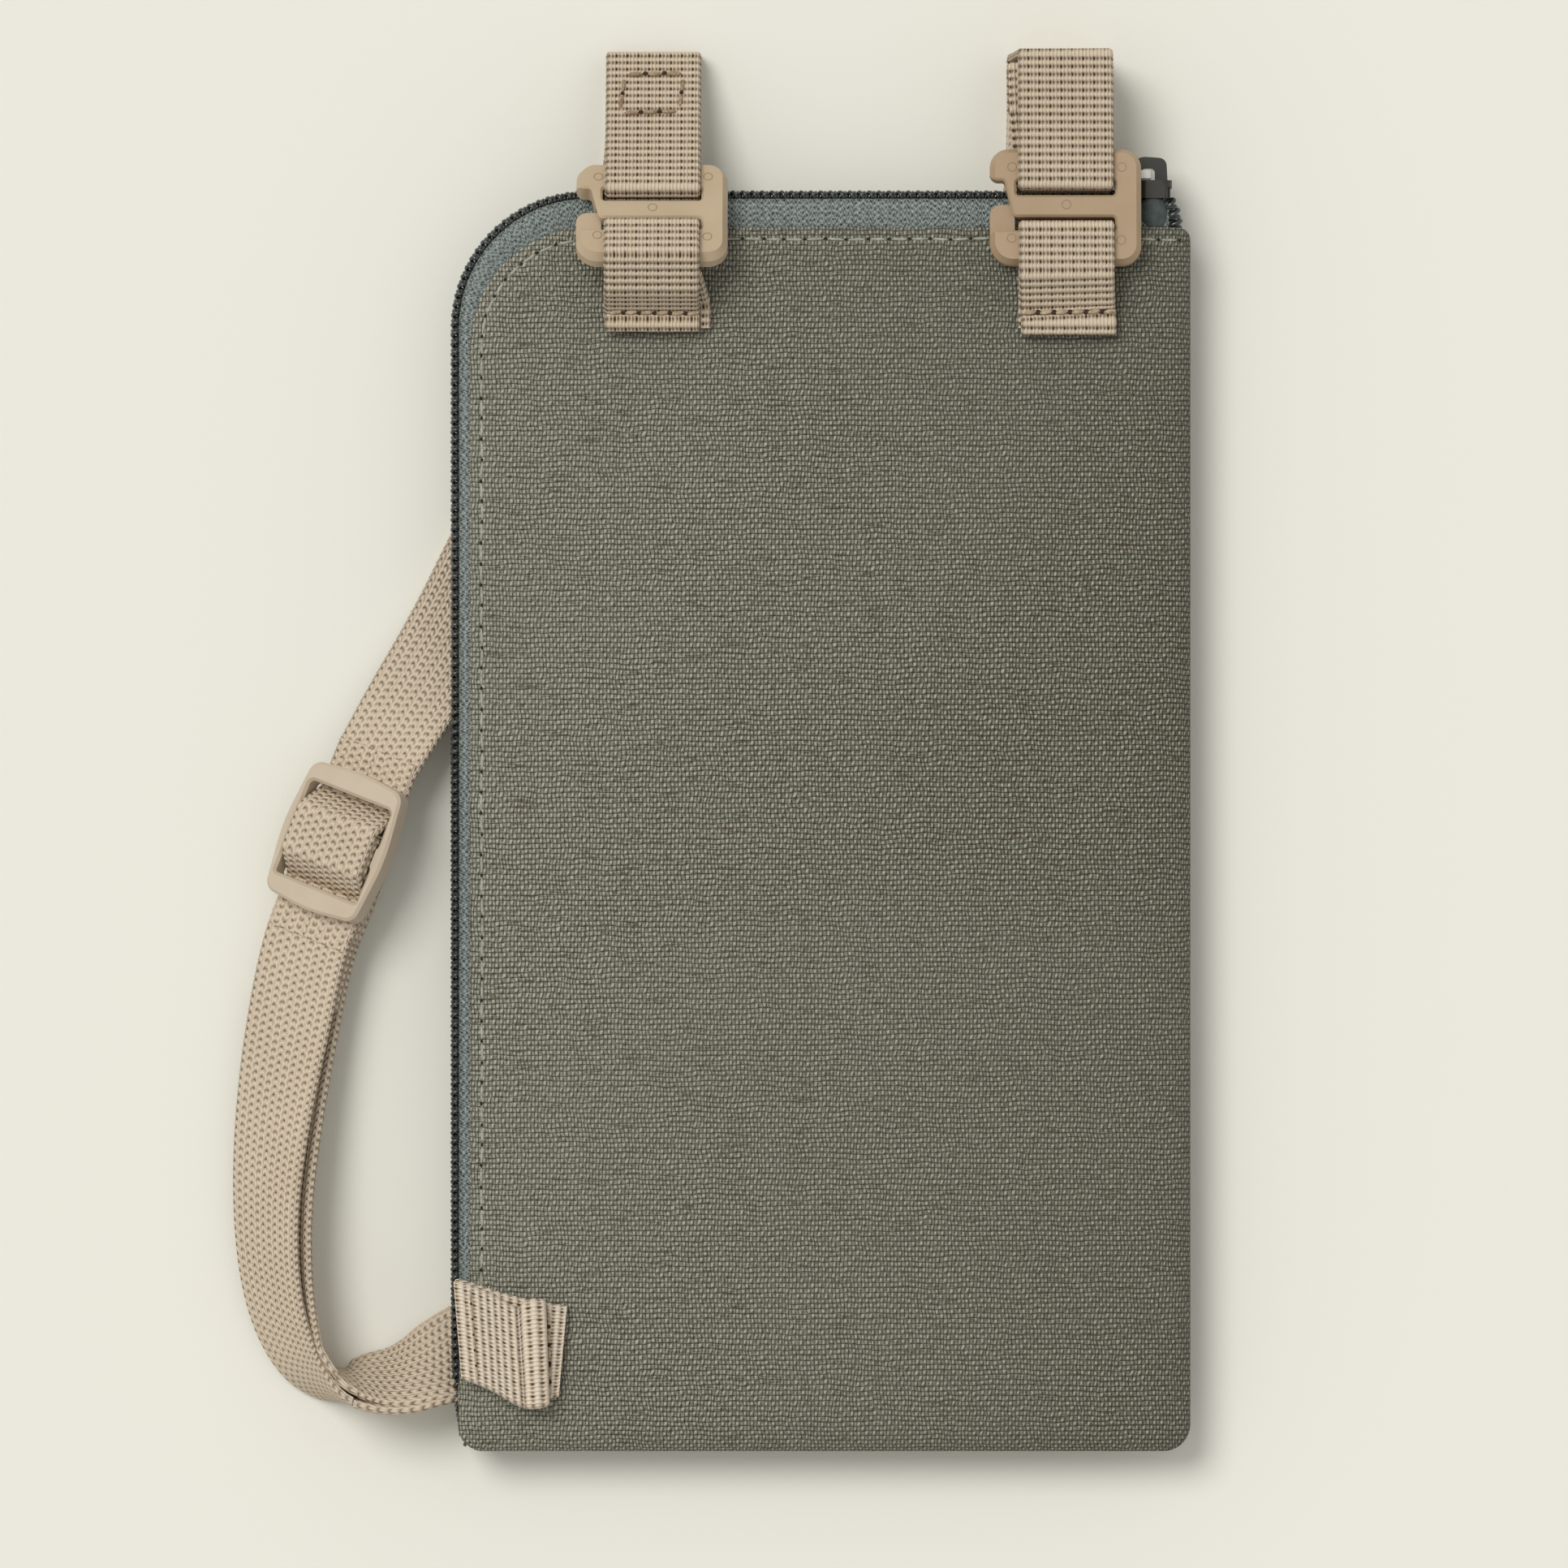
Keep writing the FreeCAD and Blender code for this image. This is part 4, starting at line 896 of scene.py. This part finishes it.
# %% Tab at the foot of the zip
# Each stop is the ribbon's upper edge, its lower edge and its height over the table.
TAB_STOPS = [
    ((-40.2, -77.1), (-41.5, -91.4), 15.5), ((-44.0, -76.6), (-45.0, -92.2), 15.4),
    ((-50.0, -75.3), (-50.0, -91.3), 15.2), ((-55.0, -73.6), (-54.0, -89.8), 14.7),
    ((-57.5, -72.9), (-56.2, -88.8), 14.4), ((-57.7, -72.9), (-56.4, -88.8), 15.7),
    ((-55.5, -73.6), (-54.5, -89.4), 16.2), ((-52.0, -75.0), (-51.0, -91.0), 16.7),
    ((-49.5, -76.5), (-48.5, -92.6), 17.3), ((-47.5, -77.6), (-46.5, -93.3), 17.0),
    ((-46.8, -75.9), (-45.8, -93.2), 18.5), ((-44.4, -75.7), (-43.8, -93.0), 18.5),
    ((-44.0, -76.2), (-43.4, -92.8), 16.7), ((-45.6, -76.4), (-45.0, -92.6), 16.5),
]
tab_line = spline_points([(at(*upper, z) + at(*lower, z)) / 2 for upper, lower, z in TAB_STOPS])
tab_spreads = spline_points([
    (Vector(upper) - Vector(lower)).to_3d() / WEB for upper, lower, _ in TAB_STOPS])
tab = ribbon("tab_webbing", tab_line, tab_spreads, skewed=True)
register(tab, "zip_end_tab", "zip_end_tab")

# %% [markdown]
# ## Marks of the mould
# Pins push each hook out of its mould and leave five shallow round marks on its face. Each is a
# raised ring in a darker copy of the plastic, which is painted shade for its rim.

# %% Marks of the mould
PIN_MARKS = [(-8.5, 6.2), (8.9, 6.2), (0.1, 0.2), (-8.6, -5.2), (8.8, -5.5)]
HOOK_FACE = 1.7
# Radius and height of the three circles that make a raised ring.
RING = ((0.62, 0.01), (0.69, 0.05), (0.76, 0.01))


def pin_marks(name, body, middle, tilt):
    lean = Matrix.Rotation(math.radians(-tilt), 4, "X")
    bm = bmesh.new()
    for x, y in PIN_MARKS:
        circles = []
        for radius, high in RING:
            place = Matrix.Translation(middle) @ lean @ Matrix.Translation(at(x, y, HOOK_FACE + high))
            made = bmesh.ops.create_circle(
                bm, cap_ends=False, segments=28, radius=radius * MM, matrix=place)
            circles.append({edge for vertex in made["verts"] for edge in vertex.link_edges})
        for inner, outer in zip(circles, circles[1:]):
            bmesh.ops.bridge_loops(bm, edges=list(inner | outer))
    piece = link(name, bm)
    register(piece, body)
    return piece


marks = [
    pin_marks("left_hook_marks", "left_hook", at(-26.7, 96.1, 18.0), 33.0),
    pin_marks("right_hook_marks", "right_hook", at(38.9, 97.3, 16.9), 6.0),
]

# %% [markdown]
# ## Shader sums
# Weaves are sums of waves. One small class wraps a socket, so that a pattern can be written as a plain
# expression, and each operator adds the Math node that it needs.

# %% Shader sums
class Wave:
    """A number that varies over a surface."""

    def __init__(self, finish, socket):
        self.finish = finish
        self.socket = socket

    def maths(self, operation, *others):
        values = dict(enumerate((self,) + others))
        return self.finish.node("ShaderNodeMath", values, {"operation": operation})

    __add__ = partialmethod(maths, "ADD")
    __sub__ = partialmethod(maths, "SUBTRACT")
    __mul__ = partialmethod(maths, "MULTIPLY")
    __truediv__ = partialmethod(maths, "DIVIDE")
    __pow__ = partialmethod(maths, "POWER")
    cos = partialmethod(maths, "COSINE")
    at_least = partialmethod(maths, "MAXIMUM")
    at_most = partialmethod(maths, "MINIMUM")

    def __rsub__(self, other):
        return self.finish.node("ShaderNodeMath", {0: other, 1: self}, {"operation": "SUBTRACT"})


class Finish:
    """A material and the nodes that paint it."""

    def __init__(self, name):
        self.material = bpy.data.materials.new(name)
        self.material.use_nodes = True
        self.tree = self.material.node_tree
        self.shader = self.tree.nodes["Principled BSDF"]

    def fill(self, socket, value):
        """Gives a socket its value, or a link to a number that varies."""
        if isinstance(value, Wave):
            self.tree.links.new(value.socket, socket)
        else:
            socket.default_value = value

    def node(self, kind, values=None, settings=None, output=0):
        """Adds a node, sets it up, fills its sockets with values or links, and gives one output."""
        made = self.tree.nodes.new(kind)
        for name, setting in (settings or {}).items():
            setattr(made, name, setting)
        for name, value in (values or {}).items():
            self.fill(made.inputs[name], value)
        return Wave(self, made.outputs[output])

    def mix(self, factor, first, second):
        return self.node("ShaderNodeMix", {0: factor, 6: first, 7: second}, {"data_type": "RGBA"}, 2)

    def ramp(self, factor, *stops):
        """A colour picked by the factor from stops, each a place from 0 to 1 and a colour."""
        picked = self.node("ShaderNodeValToRGB", {"Fac": factor})
        elements = picked.socket.node.color_ramp.elements
        while len(elements) < len(stops):
            elements.new(0.5)
        for element, (place, colour) in zip(elements, stops):
            element.position = place
            element.color = colour
        return picked

    def uv(self):
        """Distance across and along the cloth, in millimetres."""
        place = self.node("ShaderNodeTexCoord", output="UV")
        parts = self.node("ShaderNodeSeparateXYZ", {0: place})
        return parts * (1 / UV_PER_MM), Wave(self, parts.socket.node.outputs[1]) * (1 / UV_PER_MM)

    def grain(self, scale, detail=3.0, roughness=0.55, stretch=(1, 1, 1), space="Object"):
        place = self.node("ShaderNodeTexCoord", output=space)
        turned = self.node("ShaderNodeMapping", {"Vector": place, "Scale": stretch})
        return self.node("ShaderNodeTexNoise", {
            "Vector": turned, "Scale": scale, "Detail": detail, "Roughness": roughness})

    def surface(self, colour, roughness, specular=0.5, metallic=0.0):
        for name, value in (("Base Color", colour), ("Roughness", roughness),
                            ("Specular IOR Level", specular), ("Metallic", metallic)):
            self.fill(self.shader.inputs[name], value)

    def bump(self, height, distance, strength=1.0):
        normal = self.node(
            "ShaderNodeBump", {"Height": height, "Distance": distance, "Strength": strength})
        self.fill(self.shader.inputs["Normal"], normal)


def wear(finish, *pieces):
    for piece in pieces:
        piece.data.materials.clear()
        piece.data.materials.append(finish.material)


# %% [markdown]
# ## Canvas
# The canvas is a plain weave of thick and thin yarns. Where a yarn passes over, it shows as a light dot,
# and the dots of one row sit between those of the next. Some yarns are darker or browner than others,
# which gives the short dashes of a natural cloth. Light is painted in as well: painted shade in the gaps
# between yarns, each dot painted lighter on its upper left and darker on its lower right, and the whole
# cloth painted lighter towards the left.

# %% Canvas
WARP = 0.57
WEFT = 0.82
cloth = Finish("canvas")
waver = cloth.grain(60.0, 2.0, space="UV") - 0.5
ripple = cloth.grain(14.0, 2.0, space="UV") - 0.5
fine = cloth.grain(900.0, 2.0, 0.6, space="UV")
uneven = cloth.grain(170.0, 2.0, 0.6, space="UV")
slub = cloth.grain(20.0, 3.0, 0.6, stretch=(3.0, 30.0, 1.0), space="UV")
slub_up = cloth.grain(20.0, 3.0, 0.6, stretch=(40.0, 2.5, 1.0), space="UV")
brown = cloth.grain(30.0, 2.0, 0.6, stretch=(0.6, 6.5, 1.0), space="UV")
patch = cloth.grain(9.0, 2.0)
broad = cloth.grain(22.0, 3.0)
across, along = cloth.uv()
across = across + waver * 0.4 + ripple * 1.6
along = along + waver * 0.3 + ripple * 1.2
knot = (across * (math.pi / WARP)).cos() * (along * (math.pi / WEFT)).cos()
# Painted light: this copy of the weave is shifted to the lower right and taken from it below, which paints
# each dot lighter on its upper left and darker on its lower right, as if lit from the top left.
knot_offset_for_painted_light = ((across - 0.16) * (math.pi / WARP)).cos() * ((along + 0.2) * (math.pi / WEFT)).cos()
over = knot.at_least(0.0)
under = (knot * -1.0).at_least(0.0)
# Painted shade: the gaps between the yarns are darkened in the colour.
gap = (1.0 - over - under) ** 5.0
tone = over ** 0.55 * 0.46 + under ** 0.6 * 0.24 - gap * 0.34 + (knot - knot_offset_for_painted_light) * 0.16 + 0.43
tone = tone + (fine - 0.5) * 0.5 + (uneven - 0.5) * 0.9 + (slub - 0.5) * 0.9 + (slub_up - 0.5) * 0.5
# The broad grain is the cloth's own mottling; the last term is painted light, lighter towards the left and
# darker towards the right.
tone = tone + (broad - 0.5) * 0.12 - across * 0.0022
coloured = cloth.ramp(
    tone, (0.0, rgb(62, 61, 49)), (0.4, rgb(106, 104, 89)), (0.65, rgb(136, 134, 117)),
    (1.0, rgb(180, 177, 160)))
speck = ((brown - 0.585) * 7.0).at_least(0.0).at_most(0.62)
coloured = cloth.mix(speck, coloured, rgb(82, 66, 44))
cool = ((patch - 0.45) * 1.2).at_least(0.0).at_most(0.14)
coloured = cloth.mix(cool, coloured, rgb(124, 129, 117))
cloth.surface(coloured, 0.88, 0.25)
cloth.bump(over ** 0.5 + under ** 0.5 * 0.6 + fine * 0.2 + uneven * 0.3, 0.0004)
wear(cloth, canvas_front, canvas_back)

# %% [markdown]
# ## Webbing
# Webbing is fine warp threads, side by side, over rows of weft. Where the threads part, gaps show. On
# the free runs these are small arches that stand apart from row to row, and near the hooks they are
# notched rows that run straight across. Their shade is painted into the colour: the gaps, the arches and
# the valleys between rows are painted darker, and the thread crowns are painted lighter as a highlight.

# %% Webbing
THREAD = 0.58
COLUMN = 1.4


def webbing_finish(name, light, middle, dark, staggered):
    """Warp threads and their gaps, as staggered arches or notched rows, with painted shade and highlight."""
    finish = Finish(name)
    waver = finish.grain(80.0, 2.0, space="UV") - 0.5
    fibre = finish.grain(700.0, 2.0, 0.6, space="UV")
    blotch = finish.grain(60.0, 2.0)
    across, along = finish.uv()
    across = across + waver * 0.16
    row = along / ROW + waver * 0.12
    thread = across / THREAD
    rounded = (thread * math.tau).cos() * -0.5 + 0.5
    if staggered:
        bow = (across * (math.tau / COLUMN)).cos() * 0.16
        wave = ((row + bow) * math.tau).cos()
        arched = wave * (across * (math.pi / COLUMN)).cos()
        gaps = arched.at_least(0.0) ** 2.0 * wave * wave
        # Painted light: thread crowns painted lighter, arches and the gaps in them painted darker as shade.
        tone = rounded * 0.16 + arched * -0.14 - gaps * 0.42 + 0.62
        relief, depth = rounded * 0.3 - arched * 0.4 - gaps * 0.4, 0.0004
    else:
        crest = (row * math.tau).cos() * 0.5 + 0.5
        valley = (1.0 - crest) ** 2.0
        parting = (1.0 - rounded) ** 1.2
        gaps = valley * parting * ((thread * (math.tau / 3)).cos() * 0.35 + 0.65)
        # Painted light: thread crowns painted lighter, row valleys and the gaps between threads painted
        # darker.
        tone = rounded * 0.14 - (valley ** 2.0) * 0.26 - gaps * 0.9 + 0.75
        relief, depth = (crest ** 0.6) * (rounded * 0.4 + 0.6) - gaps, 0.0005
    tone = tone + (fibre - 0.5) * 0.45 + (blotch - 0.5) * 0.25
    finish.surface(finish.ramp(tone, (0.0, dark), (0.45, middle), (1.0, light)), 0.8, 0.3)
    finish.bump(relief + fibre * 0.12, depth)
    return finish


# The dark colour of each webbing is the colour of its painted shade.
run_webbing = webbing_finish(
    "webbing", rgb(230, 213, 189), rgb(191, 172, 146), rgb(92, 68, 46), staggered=True)
end_webbing = webbing_finish(
    "webbing at the hooks", rgb(230, 213, 188), rgb(190, 167, 138), rgb(82, 58, 38), staggered=False)
tab_webbing = webbing_finish(
    "webbing of the tab", rgb(242, 227, 206), rgb(220, 200, 172), rgb(112, 86, 62), staggered=False)
wear(run_webbing, outer_run, return_run, single_run, sewn_end, pass_over, tail_loop, *leads)
wear(end_webbing, left_end, right_end, left_loop, right_loop)
wear(tab_webbing, tab)

# %% [markdown]
# ## Zip tape, coil and threads
# The tape is a fine knit in a cool grey. The coil is dark nylon, smooth enough to catch a glint on every
# turn. The hem's thread matches the canvas.

# %% Zip tape, coil and threads
WALE = 1.0
COURSE = 0.6
WALE_SWAY = 1.5
tape_finish = Finish("zip tape")
knit = tape_finish.grain(230.0, 3.0, 0.7, stretch=(1.0, 0.6, 1.0), space="UV")
across, along = tape_finish.uv()
wales = (across * (math.tau / WALE) + (along * (math.tau / WALE_SWAY)).cos() * 1.6).cos()
courses = (along * (math.tau / COURSE)).cos()
tape_tone = wales * courses * 0.3 + wales * 0.16 + (knit - 0.5) * 2.1 + 0.62
tape_finish.surface(tape_finish.ramp(
    tape_tone, (0.0, rgb(52, 61, 60)), (0.5, rgb(122, 131, 126)), (1.0, rgb(184, 193, 187))), 0.85)
tape_finish.bump(tape_tone, 0.0005)
wear(tape_finish, tape_front, tape_back)

ear_finish = Finish("turned tape")
ear_knit = ear_finish.grain(900.0, 3.0, 0.7)
ear_finish.surface(ear_finish.mix(ear_knit, rgb(40, 47, 45), rgb(86, 96, 92)), 0.85)
ear_finish.bump(ear_knit, 0.0004, 0.8)
wear(ear_finish, ears)

coil_finish = Finish("zip coil")
coil_finish.surface(coil_finish.ramp(
    coil_finish.grain(400.0, 2.0), (0.3, rgb(36, 40, 37)), (0.8, rgb(58, 64, 60))), 0.18, 0.8)
wear(coil_finish, coil_front, coil_back)


def plain_finish(name, colour, roughness, specular=0.5):
    finish = Finish(name)
    finish.surface(colour, roughness, specular)
    return finish


def thread_finish(name, dark, light):
    finish = Finish(name)
    twist = finish.grain(1500.0, 2.0)
    finish.surface(finish.ramp(twist, (0.3, dark), (0.7, light)), 0.6)
    return finish


wear(thread_finish("hem thread", rgb(134, 133, 119), rgb(176, 175, 160)), *hem_threads)
# Painted shade: near-black balls stand for the shade inside the needle holes.
wear(plain_finish("needle hole", rgb(30, 31, 25), 0.95), *hem_holes)
seam_thread = thread_finish("seam thread", rgb(150, 126, 96), rgb(196, 176, 148))
box_thread = thread_finish("box thread", rgb(122, 98, 70), rgb(172, 148, 116))
# Painted shade: dark brown balls stand for the shade inside the holes in the webbing.
hole_shade = plain_finish("painted shade of hole in webbing", rgb(58, 40, 26), 0.95)
for threads, holes in seams:
    wear(box_thread if threads.name.startswith("box") else seam_thread, threads)
    wear(hole_shade, holes)

# %% [markdown]
# ## Moulded plastic and painted metal
# The hooks and the adjuster are moulded in a soft, slightly mottled plastic. The two hooks are one plastic,
# painted lighter on the left hook and darker on the right, as painted light for how their faces tilt to
# the sun. The zip's slider is enamelled in a dark olive, and its pull is bright metal.

# %% Moulded plastic and painted metal
def plastic_finish(name, colour, deep):
    finish = Finish(name)
    cloud = finish.grain(120.0, 3.0)
    pores = finish.grain(2600.0, 2.0)
    finish.surface(finish.mix((cloud - 0.3) * 1.2, deep, colour), pores * 0.12 + 0.42, 0.4)
    finish.bump(pores, 0.00004, 0.5)
    return finish


# Painted light: two copies of one plastic, the left hook's lighter and the right hook's darker.
left_hook_plastic_painted_lighter = plastic_finish("left hook plastic painted lighter", rgb(194, 174, 146), rgb(182, 161, 131))
right_hook_plastic_painted_darker = plastic_finish("right hook plastic painted darker", rgb(180, 156, 125), rgb(167, 142, 111))
adjuster_finish = plastic_finish("adjuster plastic", rgb(201, 187, 165), rgb(190, 173, 149))
# Painted shade: the pin marks wear a darker copy of the plastic, so their rims show as if shaded.
wear(plastic_finish("mould marks painted shade", rgb(158, 136, 108), rgb(140, 119, 92)), *marks)
enamel = Finish("enamelled metal")
enamel.surface(rgb(48, 47, 39), enamel.grain(500.0, 2.0) * 0.15 + 0.3)
bright = Finish("bright metal")
bright.surface(rgb(236, 234, 226), bright.grain(900.0, 2.0) * 0.1 + 0.2, metallic=0.85)
lining = Finish("lining")
lining.surface(lining.mix(lining.grain(800.0, 2.0), rgb(92, 92, 80), rgb(110, 110, 97)), 0.9)

NODE_FINISHES = {
    "left_hook": left_hook_plastic_painted_lighter, "right_hook": right_hook_plastic_painted_darker, "strap_slider": adjuster_finish,
    "zip_slider": enamel, "zip_pull": bright,
    "front_lining": lining, "back_lining": lining, "card_pocket": lining, "seam_binding": lining,
}
for node, finish in NODE_FINISHES.items():
    wear(finish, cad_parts[node])

# %% [markdown]
# ## Table and light
# The table is plain and pale. A wide soft sun above the top left corner draws short soft shadows, and
# the world fills them with an even light.

# %% Table and light
TABLE_COLOUR = rgb(235, 233, 221)
TABLE_HALF = 2.0
TABLE_DROP = 0.05
SUN_FROM = Vector((-0.42, 0.44, 1.0))
SUN_LIGHT = 1.6
SUN_WIDTH = 28
WORLD_LIGHT = 0.565

bm = bmesh.new()
bmesh.ops.create_grid(bm, x_segments=2, y_segments=2, size=TABLE_HALF)
bmesh.ops.translate(bm, verts=bm.verts, vec=at(0, 0, -TABLE_DROP))
table = link("table", bm, smooth=False)
wear(plain_finish("table", TABLE_COLOUR, 0.9, 0.1), table)

sun = bpy.data.lights.new("sun", "SUN")
sun.energy = SUN_LIGHT
sun.angle = math.radians(SUN_WIDTH)
sun_place = add("sun", sun)
sun_place.location = SUN_FROM
sun_place.rotation_euler = SUN_FROM.to_track_quat("Z", "Y").to_euler()

scene = bpy.context.scene
scene.world = bpy.data.worlds.new("studio")
scene.world.use_nodes = True
background = scene.world.node_tree.nodes["Background"]
background.inputs["Color"].default_value = (1, 1, 1, 1)
background.inputs["Strength"].default_value = WORLD_LIGHT
scene.view_settings.view_transform = "Standard"
